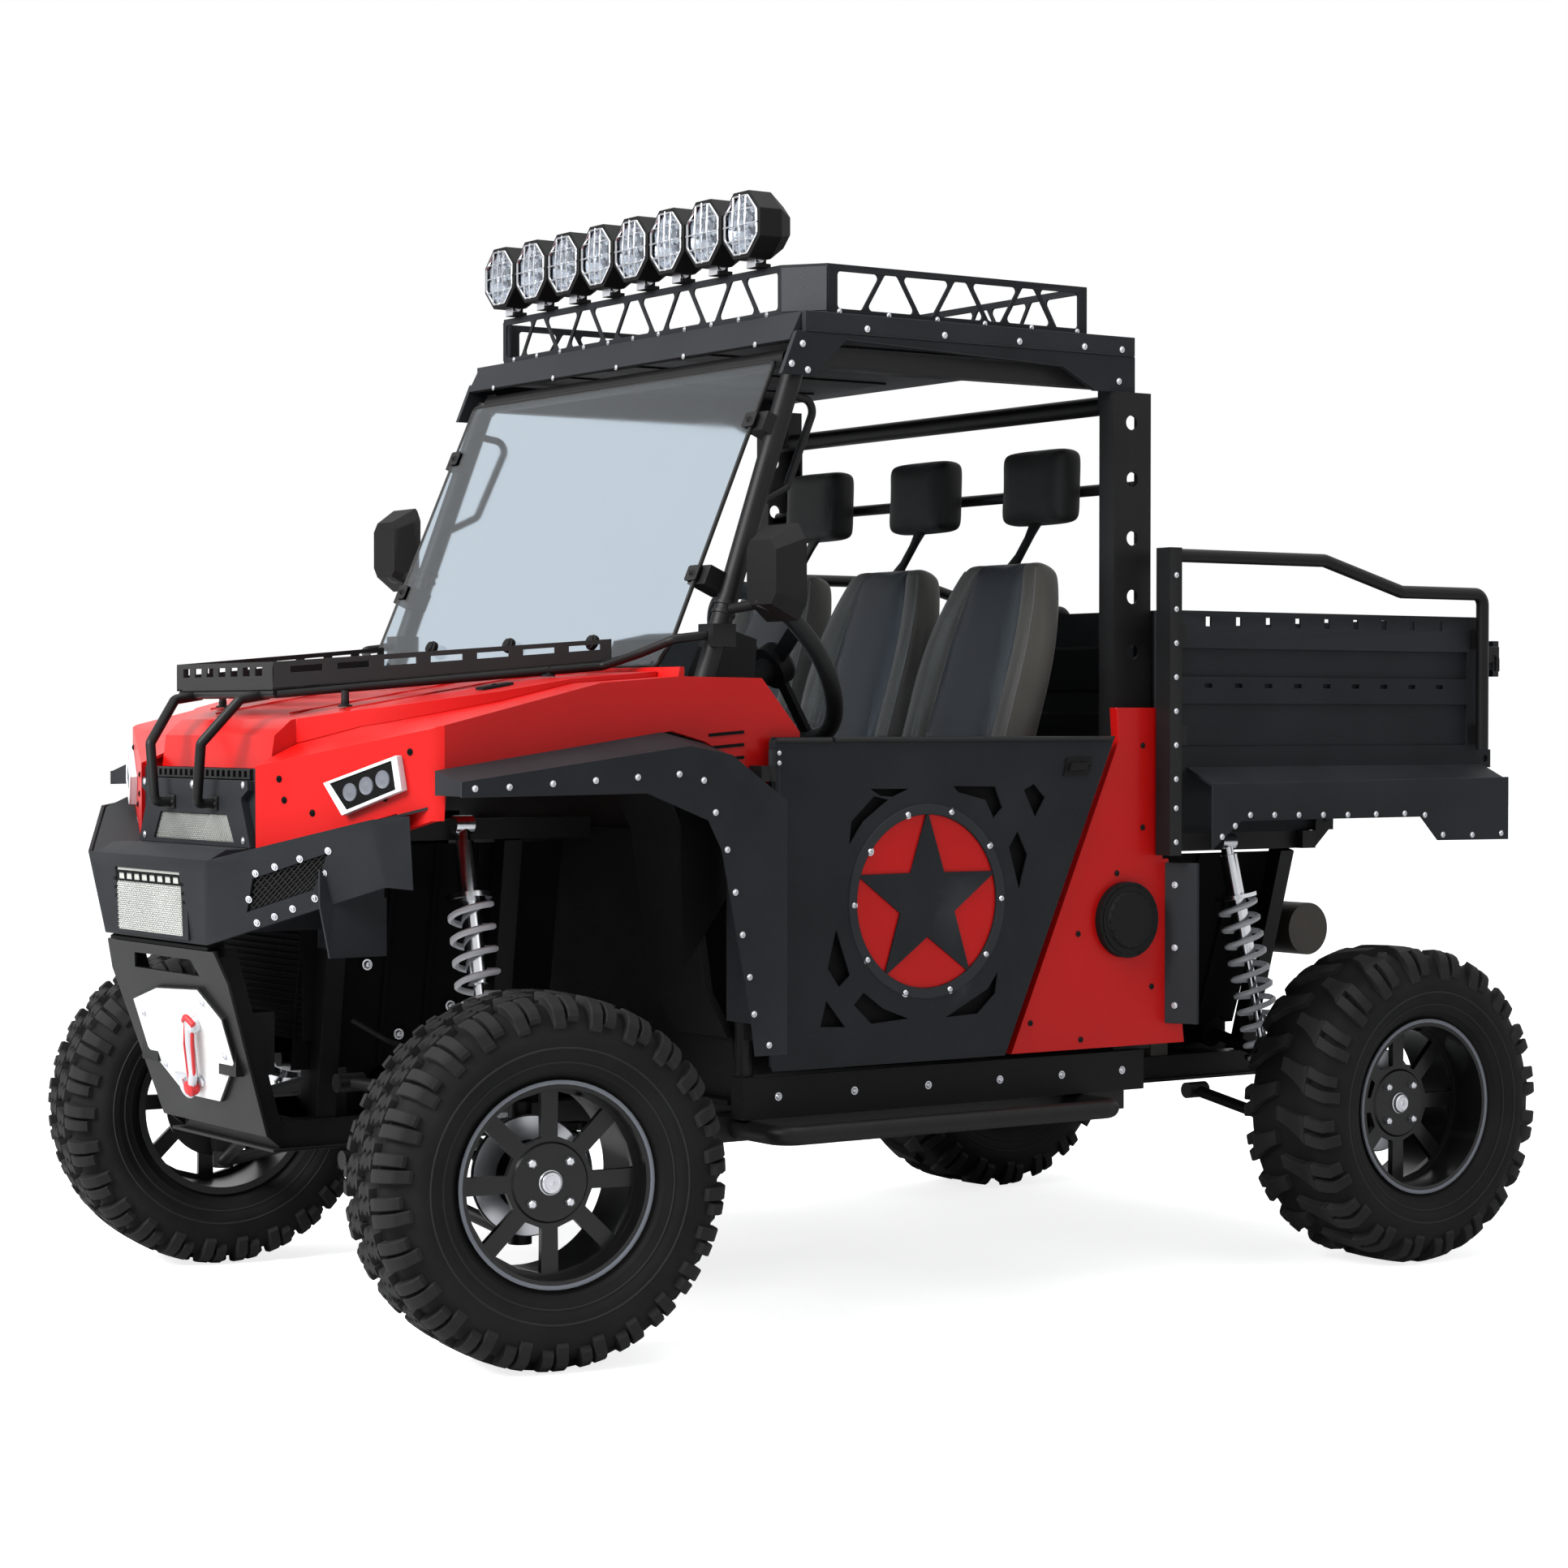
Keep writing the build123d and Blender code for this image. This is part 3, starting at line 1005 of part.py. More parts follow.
BACK_FOOT = (80.0, 900.0 + SEAT_GAP)
BACK_TOP = (272.0, 1512.0)
BACK_T = 76.0
BOLSTER_H = 26.0
with BuildPart() as seat_backs:
    lean = Vector(0, BACK_TOP[0] - BACK_FOOT[0], BACK_TOP[1] - BACK_FOOT[1])
    front_face = Plane(origin=(0, *BACK_FOOT), x_dir=(1, 0, 0), z_dir=Vector(1, 0, 0).cross(lean))
    edge = SEAT_W / 2
    tall = lean.length
    for index in (-1, 0, 1):
        x = index * SEAT_PITCH
        outline = [(edge, 7.1), (edge, tall * 0.52), (edge - 16, tall * 0.74), (edge - 60, tall * 0.94), (edge - 92, tall)]
        flat_plate(
            [(x - y, z) for y, z in outline] + [(x + y, z) for y, z in reversed(outline)], front_face, -BACK_T)
        for side in (1, -1):
            with BuildSketch(front_face) as bolster:
                with BuildLine():
                    Polyline(
                        (x + side * edge, 34), (x + side * edge, tall * 0.52), (x + side * (edge - 16), tall * 0.74),
                        (x + side * (edge - 50), tall * 0.9), (x + side * (edge - 74), tall * 0.72),
                        (x + side * (edge - 66), 34), close=True)
                make_face()
            extrude(bolster.sketch, amount=BOLSTER_H, taper=32)
finish(seat_backs, "seat_backs")

with BuildPart() as headrests:
    for index in (-1, 0, 1):
        with Locations((index * SEAT_PITCH, 379, HEADREST_Z)):
            Box(HEADREST_W, HEADREST_T, HEADREST_H)
        foot = Vector(index * SEAT_PITCH, BACK_TOP[0] + 37.4, BACK_TOP[1] - 8.3)
        rod(foot, (foot.X, 366, HEADREST_Z - HEADREST_H / 2 + 4), 10)
    chamfer(headrests.edges().filter_by(Axis.Y), 22)
finish(headrests, "headrests")


def star_points(centre, radius, ratio):
    return [
        (centre[0] + radius * (1 if k % 2 == 0 else ratio) * math.sin(k * math.pi / 5),
         centre[1] + radius * (1 if k % 2 == 0 else ratio) * math.cos(k * math.pi / 5))
        for k in range(10)]


# Half doors: a pierced plate with a star in its ring, folded at the front, on a tube frame over a red disc
DOOR_CREASE = (-380.0, -458.0)
DOOR_FOLD = 8.0
DOOR_CUTS = (
    ((-367, 768), (-334, 677), (-360, 655), (-387, 692)), ((-390, 630), (-345, 577), (-404, 580)),
    ((-301, 642), (-253, 608), (-193, 586), (-283, 580), (-325, 619)),
    ((29, 669), (23, 625), (-21, 587), (-101, 584), (4, 636)), ((79, 949), (105, 901), (83, 832), (57, 917)),
    ((121, 1043), (150, 1015), (124, 976), (95, 1031)), ((-286, 1038), (-193, 1037), (-230, 1022), (-262, 1024)),
    ((-331, 975), (-276, 1024), (-242, 1016), (-301, 975), (-336, 930)),
    ((-83, 1041), (22, 1039), (41, 997), (18, 976), (-3, 1013), (-71, 1029)))
skin = Plane.YZ.offset(DOOR_X)
with BuildPart() as door_left:
    for z, crease_y, rear_y in (
            (DOOR_LOW_Z, DOOR_CREASE[1], DOOR_LOW_REAR_Y), (DOOR_TOP_Z, DOOR_CREASE[0], DOOR_TOP_REAR_Y)):
        fold_x = DOOR_X - DOOR_FOLD * (crease_y - DOOR_FRONT_Y) / (DOOR_CREASE[0] - DOOR_FRONT_Y)
        with BuildSketch(Plane.XY.offset(z)):
            with BuildLine():
                Polyline(
                    (fold_x + DOOR_T, DOOR_FRONT_Y), (DOOR_X + DOOR_T, crease_y), (DOOR_X + DOOR_T, rear_y),
                    (DOOR_X, rear_y), (DOOR_X, crease_y), (fold_x, DOOR_FRONT_Y), close=True)
            make_face()
    loft(ruled=True)
    with BuildSketch(skin):
        with Locations((STAR_Y, STAR_Z)):
            Circle(DISC_R - 5)
        with BuildLine():
            Polyline(*star_points((STAR_Y, STAR_Z), STAR_POINT_R, STAR_RATIO), close=True)
        make_face(mode=Mode.SUBTRACT)
        for cut in DOOR_CUTS:
            with BuildLine():
                Polyline(*cut, close=True)
            make_face()
    extrude(amount=DOOR_T, mode=Mode.SUBTRACT)
    inner = DOOR_X - DOOR_TUBE_R + 0.5
    corners = [
        (inner, DOOR_FRONT_Y + 11, DOOR_LOW_Z + 11), (inner, DOOR_LOW_REAR_Y - 8, DOOR_LOW_Z + 11),
        (inner, DOOR_TOP_REAR_Y - 16, DOOR_TOP_Z - 11), (inner, DOOR_FRONT_Y + 11, DOOR_TOP_Z - 11)]
    for start, end in zip(corners, corners[1:] + corners[:1]):
        rod(start, end, DOOR_TUBE_R)
    with Locations(*corners):
        Sphere(DOOR_TUBE_R)
    for z in DOOR_HINGES:
        with Locations((DOOR_HINGE_X, DOOR_HINGE_Y, z + 15 + SEAT_GAP)):
            Cylinder(DOOR_BARREL_R, 30)
        slab(
            (DOOR_HINGE_X - 3, DOOR_HINGE_Y + 2, z + SEAT_GAP),
            (DOOR_HINGE_X + 3, DOOR_FRONT_Y + 10, z + 30 + SEAT_GAP))
        slab(
            (DOOR_X - 8, DOOR_FRONT_Y + 4, z + SEAT_GAP),
            (DOOR_HINGE_X + 3, DOOR_FRONT_Y + 10, z + 30 + SEAT_GAP))
        with Locations((DOOR_HINGE_X, DOOR_HINGE_Y, z + 15 + SEAT_GAP)):
            Cylinder(DOOR_PIN_R + SPINDLE_CLEAR, 30, mode=Mode.SUBTRACT)
finish(door_left, "door_left")
with BuildPart() as star_disc_left:
    rod((DOOR_X - 3 - SEAT_GAP, STAR_Y, STAR_Z), (DOOR_X - SEAT_GAP, STAR_Y, STAR_Z), DISC_R)
finish(star_disc_left, "star_disc_left")
with BuildPart() as door_right:
    mirror(door_left.part, about=Plane.YZ)
finish(door_right, "door_right")
with BuildPart() as star_disc_right:
    mirror(star_disc_left.part, about=Plane.YZ)
finish(star_disc_right, "star_disc_right")

# Dump bed: floor, two sides and a front wall
with BuildPart() as bed_tub:
    slab(
        (-BED_X + BED_WALL, BED_FRONT_Y + 20 + SEAT_GAP, BED_FLOOR_Z - 40),
        (BED_X - BED_WALL, BED_REAR_Y, BED_FLOOR_Z))
    for side in (1, -1):
        x = side * (BED_X - BED_WALL / 2)
        slab((x - BED_WALL / 2, BED_FRONT_Y, BED_FLOOR_Z + SEAT_GAP), (x + BED_WALL / 2, BED_REAR_Y, BED_TOP_Z))
        outer = side * BED_X
        for low, high in BED_RIBS:
            slab(
                (outer - side * RIB_DEPTH, BED_FRONT_Y + 24, low), (outer + side, BED_REAR_Y - 34, high),
                Mode.SUBTRACT)
        slab(
            (side * (BED_X - BED_WALL) - side, BED_FRONT_Y + 60, SLOT_Z - 18),
            (outer - side * 5, BED_REAR_Y - 60, SLOT_Z + 18), Mode.SUBTRACT)
        for row_z, tall, wide, depth in ((SLOT_Z, 20, 15, 30), (1244, 9, 22, 8)):
            with BuildSketch(Plane.YZ.offset(outer)) as slots:
                for number in range(SLOTS):
                    with Locations((BED_FRONT_Y + 113 + number * 84.6, row_z)):
                        Rectangle(wide, tall)
            extrude(slots.sketch, amount=-side * depth / (2 if depth > 10 else 1), mode=Mode.SUBTRACT)
        x = side * REAR_RAIL_X
        slab(
            (x - 25, BED_FRONT_Y + 40, REAR_RAIL_Z + UPPER_SIZE / 2 + SEAT_GAP),
            (x + 25, BED_HINGE_Y + 36, BED_FLOOR_Z - 40))
        rod((x, BED_HINGE_Y, BED_HINGE_Z), (x + side * 46, BED_HINGE_Y, BED_HINGE_Z), HINGE_PIN_R)
        with BuildSketch(Plane.YZ.offset(side * (BED_X - BED_WALL / 2) - BED_WALL / 2)) as ear:
            with Locations((BED_REAR_Y + 20, GATE_HINGE_Z)):
                Rectangle(40, 40)
            with Locations((GATE_HINGE_Y, GATE_HINGE_Z)):
                Circle(GATE_PIN_R + SPINDLE_CLEAR, mode=Mode.SUBTRACT)
        extrude(ear.sketch, amount=BED_WALL)
    slab(
        (-BED_X + BED_WALL + SEAT_GAP, BED_FRONT_Y, BED_FLOOR_Z - 40),
        (BED_X - BED_WALL - SEAT_GAP, BED_FRONT_Y + 20, BED_TOP_Z))
finish(bed_tub, "bed_tub")

# Bed rails: square front posts and a tube that steps down towards the tail
with BuildPart() as bed_rails:
    for side in (1, -1):
        x = side * 728
        slab((x - 22, 446, 892), (x + 22, 478, RAIL_TOP_Z + 15))
        bent_tube(
            [(x, 462, RAIL_TOP_Z), (x, 897, RAIL_TOP_Z), (x, 1126, RAIL_LOW_Z), (x, BED_REAR_Y - 16, RAIL_LOW_Z),
             (x, BED_REAR_Y - 16, 1106)], 14, 24)
        for z in (1120.0, 1330.0):
            slab((side * (BED_X + SEAT_GAP), BED_REAR_Y - 26, z), (x - side * 4, BED_REAR_Y - 6, z + 40))
            slab((side * (BED_X + SEAT_GAP), 484, z), (x, 500, z + 40))
            slab((x - 12, 470, z), (x + 12, 500, z + 40))
finish(bed_rails, "bed_rails")

# Bed flares: slanted top, face with a cut-up lower edge
with BuildPart() as bed_flares:
    flat_plate(
        [(534, 1040), (1404, 1046), (1404, 908), (1186, 910), (1134, 962), (616, 962), (534, 902)],
        Plane.YZ.offset(FLARE_X), PANEL_T)
    with BuildSketch(Plane.XZ.offset(-534)):
        with BuildLine():
            Polyline(
                (BED_X + SEAT_GAP, 1074), (FLARE_X, 1040), (FLARE_X, 1034), (BED_X + SEAT_GAP, 1066), close=True)
        make_face()
    extrude(amount=-870)
    mirror(about=Plane.YZ)
finish(bed_flares, "bed_flares")

# Tailgate with a latch at each end
with BuildPart() as tailgate:
    gate_x = BED_X - BED_WALL - MOVING_GAP
    slab(
        (-gate_x, GATE_HINGE_Y - GATE_T / 2, GATE_HINGE_Z),
        (gate_x, GATE_HINGE_Y + GATE_T / 2, BED_TOP_Z))
    rod((-gate_x - 24, GATE_HINGE_Y, GATE_HINGE_Z), (gate_x + 24, GATE_HINGE_Y, GATE_HINGE_Z), GATE_PIN_R)
    for side in (1, -1):
        slab((side * 644, GATE_HINGE_Y, 1284), (side * 668, OVERHANG_Y - 16, 1336))
        slab((side * 640, OVERHANG_Y - 18, 1269), (side * 670, OVERHANG_Y, 1349))
finish(tailgate, "tailgate")
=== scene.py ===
"""Looks of a side by side utility vehicle: materials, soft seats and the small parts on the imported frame.

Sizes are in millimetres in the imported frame: X to the driver's side, Y to the rear, Z up from the ground.
What both flanks share is built on the driver's side and mirrored.
"""
import math

import bmesh
import bpy
from mathutils import Matrix, Vector


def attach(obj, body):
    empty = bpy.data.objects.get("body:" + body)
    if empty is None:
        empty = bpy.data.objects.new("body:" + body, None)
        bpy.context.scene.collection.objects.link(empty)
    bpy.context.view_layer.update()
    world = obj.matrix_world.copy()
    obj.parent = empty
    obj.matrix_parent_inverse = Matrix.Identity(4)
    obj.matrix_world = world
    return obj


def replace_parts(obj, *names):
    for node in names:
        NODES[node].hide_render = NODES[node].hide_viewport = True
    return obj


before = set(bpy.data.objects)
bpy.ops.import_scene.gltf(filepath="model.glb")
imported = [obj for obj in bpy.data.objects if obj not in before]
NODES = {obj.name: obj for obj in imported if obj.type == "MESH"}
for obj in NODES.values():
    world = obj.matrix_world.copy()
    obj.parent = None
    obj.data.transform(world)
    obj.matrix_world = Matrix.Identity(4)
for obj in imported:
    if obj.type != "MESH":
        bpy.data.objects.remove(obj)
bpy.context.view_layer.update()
MM = 0.001
SIDES = ((1, "left"), (-1, "right"))

TYRE_R = 340.0
WHEEL_X = 725.0
KING_X = 640.0
FRONT_AXLE_Y = -1030.0
REAR_AXLE_Y = 1103.0
REST_STEER = math.radians(-8.9)
SHARP_ANGLE = math.radians(32)
DOOR_FACE_X = 710.0
BED_TRIM_X = 782.1
FLARE_X = 778.1


def linear(value):
    """Display value from 0 to 255 as linear light."""
    share = value / 255
    return share / 12.92 if share <= 0.04045 else ((share + 0.055) / 1.055) ** 2.4


def colour(red, green, blue):
    return (linear(red), linear(green), linear(blue), 1.0)


def turns(count, shift=0.0):
    """Even angles round a circle."""
    return [math.tau * (step + shift) / count for step in range(count)]


def oblong(left, right, low, high):
    return ((left, low), (right, low), (right, high), (left, high))


def set_up_camera():
    """The photograph's view: 77 mm lens, 1.17 m above the ground, 56 degrees off the nose."""
    data = bpy.data.cameras.new("camera")
    data.lens = 76.93
    data.sensor_width = 36.0
    camera = bpy.data.objects.new("camera", data)
    camera.location = (5.988, -4.104, 1.173)
    camera.rotation_euler = (math.radians(90 - 1.105), 0.0, math.radians(55.592))
    bpy.context.scene.collection.objects.link(camera)
    bpy.context.scene.camera = camera


def area_light(name, place, target, size, power):
    data = bpy.data.lights.new(name, "AREA")
    data.shape = "RECTANGLE"
    data.size, data.size_y = size
    data.energy = power
    lamp = bpy.data.objects.new(name, data)
    lamp.location = place
    lamp.rotation_euler = (Vector(target) - Vector(place)).to_track_quat("-Z", "Y").to_euler()
    bpy.context.scene.collection.objects.link(lamp)


def node(tree, kind, inputs=None, operation=None):
    """A node with its operation and some of its inputs set, by name or number."""
    made = tree.nodes.new(kind)
    if operation:
        made.operation = operation
    for key, value in (inputs or {}).items():
        made.inputs[key].default_value = value
    return made


def ramp(tree, *stops):
    """A colour ramp with two stops of place and colour."""
    made = tree.nodes.new("ShaderNodeValToRGB")
    for element, (place, shade) in zip(made.color_ramp.elements, stops):
        element.position = place
        element.color = (*shade[:3], 1)
    return made


def join(tree, *wires):
    """Links outputs to inputs, each wire a node and its outlet, then a node and its inlet."""
    for start, outlet, end, inlet in wires:
        tree.links.new(start.outputs[outlet], end.inputs[inlet])


def set_up_light():
    """Overcast daylight from above with a soft key from the front left, before plain white."""
    bpy.context.scene.view_settings.view_transform = "Standard"
    world = bpy.data.worlds.new("studio")
    bpy.context.scene.world = world
    world.use_nodes = True
    tree = world.node_tree
    tree.nodes.clear()
    rays = node(tree, "ShaderNodeLightPath")
    place = node(tree, "ShaderNodeTexCoord")
    split = node(tree, "ShaderNodeSeparateXYZ")
    sky = ramp(tree, (0.42, (0.30, 0.30, 0.31)), (0.95, (0.92, 0.95, 1.0)))
    half = node(tree, "ShaderNodeMath", {1: 0.5, 2: 0.5}, "MULTIPLY_ADD")
    lit = node(tree, "ShaderNodeBackground", {"Strength": 0.52})
    seen = node(tree, "ShaderNodeBackground", {"Color": (1, 1, 1, 1)})
    either = node(tree, "ShaderNodeMath", operation="MAXIMUM")
    clear = node(tree, "ShaderNodeMath", operation="MAXIMUM")
    mix = node(tree, "ShaderNodeMixShader")
    out = node(tree, "ShaderNodeOutputWorld")
    join(tree, (place, "Generated", split, 0), (split, "Z", half, 0), (half, 0, sky, 0),
         (sky, 0, lit, "Color"), (rays, "Is Camera Ray", either, 0), (rays, "Is Transmission Ray", either, 1),
         (either, 0, clear, 0), (rays, "Is Glossy Ray", clear, 1), (clear, 0, mix, 0), (lit, 0, mix, 1),
         (seen, 0, mix, 2), (mix, 0, out, 0))
    area_light("key", (0.6, -6.5, 4.6), (0, 0, 0.8), (4.0, 3.0), 760)
    area_light("top", (0.5, 0.5, 6.0), (0, 0, 0.8), (5.0, 5.0), 175)
    area_light("side", (6.5, 1.5, 3.0), (0.5, 0, 0.9), (3.0, 3.0), 20)


def set_up_floor():
    """A pale floor that the eye sees white, with the vehicle's soft shadow."""
    bpy.ops.mesh.primitive_plane_add(size=60)
    floor = bpy.context.object
    floor.name = "floor"
    made = bpy.data.materials.new("floor_white")
    made.use_nodes = True
    tree = made.node_tree
    shader = tree.nodes["Principled BSDF"]
    shader.inputs["Roughness"].default_value = 0.9
    shader.inputs["Base Color"].default_value = (0.82, 0.82, 0.82, 1)
    glow = node(tree, "ShaderNodeEmission", {"Color": (1, 1, 1, 1)})
    rays = node(tree, "ShaderNodeLightPath")
    share = node(tree, "ShaderNodeMath", {1: 0.8}, "MULTIPLY")
    mix = node(tree, "ShaderNodeAddShader")
    grain = node(tree, "ShaderNodeTexNoise", {"Scale": 30.0})
    bump = node(tree, "ShaderNodeBump", {"Strength": 0.05})
    join(tree, (grain, 0, bump, "Height"), (bump, 0, shader, "Normal"), (rays, "Is Camera Ray", share, 0),
         (share, 0, glow, "Strength"), (shader, 0, mix, 0), (glow, 0, mix, 1),
         (mix, 0, tree.nodes["Material Output"], "Surface"))
    floor.data.materials.append(made)


def finish_of(name, shade, rough, metallic=0.0, coat=0.0, grain=350.0, bump=0.15, mottle=0.12, cells=False,
              sheen=0.0, scuff=0.0, shine=0.5, clear=False):
    """A procedural finish: mottled colour, uneven gloss, a fine raised grain, and edges scuffed pale."""
    base = colour(*shade)[:3]
    made = bpy.data.materials.new(name)
    made.use_nodes = True
    tree = made.node_tree
    shader = tree.nodes["Principled BSDF"]
    for key, value in (("Metallic", metallic), ("Specular IOR Level", shine), ("Coat Weight", coat),
                       ("Coat Roughness", 0.12), ("Sheen Weight", sheen)):
        shader.inputs[key].default_value = value
    if clear:
        shader.inputs["Transmission Weight"].default_value = 1.0
        shader.inputs["IOR"].default_value = 1.38
    place = node(tree, "ShaderNodeTexCoord")
    broad = node(tree, "ShaderNodeTexNoise", {"Scale": 7.0, "Detail": 6.0})
    fine = node(tree, "ShaderNodeTexVoronoi" if cells else "ShaderNodeTexNoise", {"Scale": grain})
    mottled = ramp(tree, (0.3, [value * (1 - mottle) for value in base]),
                   (0.72, [min(1.0, value * (1 + mottle) + 0.02 * mottle) for value in base]))
    gloss = node(tree, "ShaderNodeMapRange", {
        "To Min": max(0.02, rough - 0.07), "To Max": min(1.0, rough + 0.07)})
    raised = node(tree, "ShaderNodeBump", {"Strength": bump, "Distance": 0.0008})
    join(tree, (place, "Object", broad, "Vector"), (place, "Object", fine, "Vector"), (broad, 0, mottled, 0),
         (broad, 0, gloss, "Value"), (gloss, 0, shader, "Roughness"), (fine, 0, raised, "Height"),
         (raised, 0, shader, "Normal"))
    if not scuff:
        join(tree, (mottled, 0, shader, "Base Color"))
        return made
    edges = node(tree, "ShaderNodeNewGeometry")
    worn = node(tree, "ShaderNodeMapRange", {"From Min": 0.53, "From Max": 0.62, "To Max": scuff})
    paint = tree.nodes.new("ShaderNodeMix")
    paint.data_type = "RGBA"
    paint.inputs["B"].default_value = (*(min(1.0, value * 2.2 + 0.03) for value in base), 1)
    join(tree, (edges, "Pointiness", worn, "Value"), (worn, 0, paint, "Factor"), (mottled, 0, paint, "A"),
         (paint, "Result", shader, "Base Color"))
    return made


FINISH = {name: finish_of(name, shade, rough, **more) for name, shade, rough, more in (
    ("plate", (30, 32, 35), 0.58, dict(grain=420, bump=0.35, scuff=0.35, shine=0.12)),
    ("plate_pale", (44, 46, 50), 0.55, dict(grain=420, bump=0.3, scuff=0.35, shine=0.2)),
    ("red", (186, 11, 8), 0.38, dict(coat=0.1, grain=60, bump=0.03, mottle=0.05, shine=0.2)),
    ("frame", (12, 12, 13), 0.45, dict(grain=500, bump=0.25, scuff=0.3, shine=0.2)),
    ("plastic", (13, 13, 14), 0.6, dict(grain=300, bump=0.3, cells=True, shine=0.15)),
    ("rubber", (14, 14, 14), 0.72, dict(grain=260, bump=0.25, mottle=0.25, scuff=0.4, shine=0.14)),
    ("rim", (8, 8, 9), 0.32, dict(coat=0.12, grain=300, bump=0.05, scuff=0.2, shine=0.3)),
    ("silver", (205, 207, 212), 0.3, dict(metallic=0.85, grain=500, bump=0.08)),
    ("white", (225, 226, 230), 0.4, dict(grain=300, bump=0.05, mottle=0.05)),
    ("chrome", (200, 202, 206), 0.16, dict(metallic=1.0, grain=200, bump=0.03)),
    ("mesh", (186, 188, 184), 0.4, dict(metallic=0.7, grain=400, bump=0.1)),
    ("gauze", (176, 178, 172), 0.5, dict(metallic=0.1, grain=700, bump=0.3)),
    ("vinyl", (34, 38, 43), 0.5, dict(grain=420, bump=0.3, cells=True, sheen=0.1, shine=0.25)),
    ("bolster", (66, 64, 59), 0.52, dict(grain=420, bump=0.3, cells=True, sheen=0.1, shine=0.25)),
    ("headrest", (16, 17, 17), 0.55, dict(grain=420, bump=0.3, cells=True, sheen=0.1, shine=0.2)),
    ("piping", (74, 73, 70), 0.45, dict(grain=700, bump=0.3)),
    ("casting", (70, 66, 60), 0.55, dict(metallic=0.5, grain=180, bump=0.4)),
    ("caliper", (176, 178, 182), 0.38, dict(metallic=0.7, grain=240, bump=0.25, scuff=0.2)),
    ("bead", (96, 100, 108), 0.45, dict(grain=300, bump=0.1)),
    ("hook_red", (190, 28, 34), 0.5, dict(grain=900, bump=0.4, mottle=0.15)),
    ("fairlead", (214, 215, 214), 0.38, dict(metallic=0.25, grain=400, bump=0.1)),
    ("rope", (120, 118, 108), 0.7, dict(grain=900, bump=0.6, mottle=0.3)),
    ("mirror", (214, 219, 224), 0.05, dict(metallic=1.0, grain=20, bump=0.01)),
    ("dark", (5, 5, 6), 0.75, dict(grain=200, bump=0.2, shine=0.1)),
    ("lit", (235, 238, 240), 0.25, dict(grain=80, bump=0.2, mottle=0.04)),
    ("glass", (188, 202, 214), 0.02, dict(bump=0.01, mottle=0.01, grain=3.0, clear=True)),
    ("lens", (235, 240, 246), 0.08, dict(bump=0.01, mottle=0.01, grain=3.0, clear=True)))}

NODE_FINISH = {
    "plate": ("front_flares", "bumper", "door_left", "door_right", "bed_tub", "bed_flares", "mudguards",
              "roof", "roof_rack", "tailgate", "grille"),
    "red": ("hood", "front_panels", "quarter_panels", "star_disc_left", "star_disc_right"),
    "frame": ("main_frame", "cage", "hood_rack", "bed_rails", "running_boards", "winch", "suspension_arms",
              "knuckle_left", "knuckle_right", "tie_rods", "drive_line", "skid_plate"),
    "plastic": ("arch_liners", "dashboard", "floor_pan", "mirrors", "seat_base", "fuel_cap",
                "steering_wheel", "roof_lamps"),
    "rim": ("rim_front_left", "rim_front_right", "rim_rear_left", "rim_rear_right"),
    "rubber": ("tyre_front_left", "tyre_front_right", "tyre_rear_left", "tyre_rear_right"),
    "white": ("headlamps", "coil_springs"),
    "chrome": ("dampers",),
    "casting": ("engine",),
    "glass": ("windscreen",),
    "vinyl": ("seat_cushions", "seat_backs", "headrests"),
}
ROUND_NODES = ("coil_springs", "steering_wheel", "running_boards", "hood_rack", "suspension_arms")


def dressing():
    """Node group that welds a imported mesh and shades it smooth, and leaves the mesh itself as it is."""
    group = bpy.data.node_groups.new("dressing", "GeometryNodeTree")
    for way in ("INPUT", "OUTPUT"):
        group.interface.new_socket("Geometry", in_out=way, socket_type="NodeSocketGeometry")
    entry = node(group, "NodeGroupInput")
    leave = node(group, "NodeGroupOutput")
    plain = node(group, "GeometryNodeRemoveAttribute", {"Name": "custom_normal"})
    weld = node(group, "GeometryNodeMergeByDistance", {"Distance": 0.00002})
    smooth = node(group, "GeometryNodeSetShadeSmooth")
    sharp = node(group, "GeometryNodeSetShadeSmooth", {"Shade Smooth": False})
    sharp.domain = "EDGE"
    angle = node(group, "GeometryNodeInputMeshEdgeAngle")
    steep = node(group, "FunctionNodeCompare", {1: SHARP_ANGLE})
    join(group, (entry, 0, plain, "Geometry"), (plain, 0, weld, "Geometry"), (weld, 0, smooth, "Geometry"),
         (smooth, 0, sharp, "Geometry"), (angle, "Unsigned Angle", steep, 0), (steep, 0, sharp, "Selection"),
         (sharp, 0, leave, 0))
    return group


DRESSING = dressing()


def dress(thing, edge=1.2):
    """Shades a mesh and breaks its sharp edges with a small bevel."""
    thing.modifiers.new("dressing", "NODES").node_group = DRESSING
    if edge:
        bevel = thing.modifiers.new("edges", "BEVEL")
        bevel.width = edge * MM
        bevel.segments = 2
        bevel.limit_method = "ANGLE"
        bevel.angle_limit = SHARP_ANGLE


def dress_nodes():
    """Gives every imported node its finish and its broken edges."""
    for finish, names in NODE_FINISH.items():
        for name in names:
            thing = NODES[name]
            thing.data.materials.clear()
            thing.data.materials.append(FINISH[finish])
            dress(thing, 0.0 if name in ROUND_NODES else 1.2)


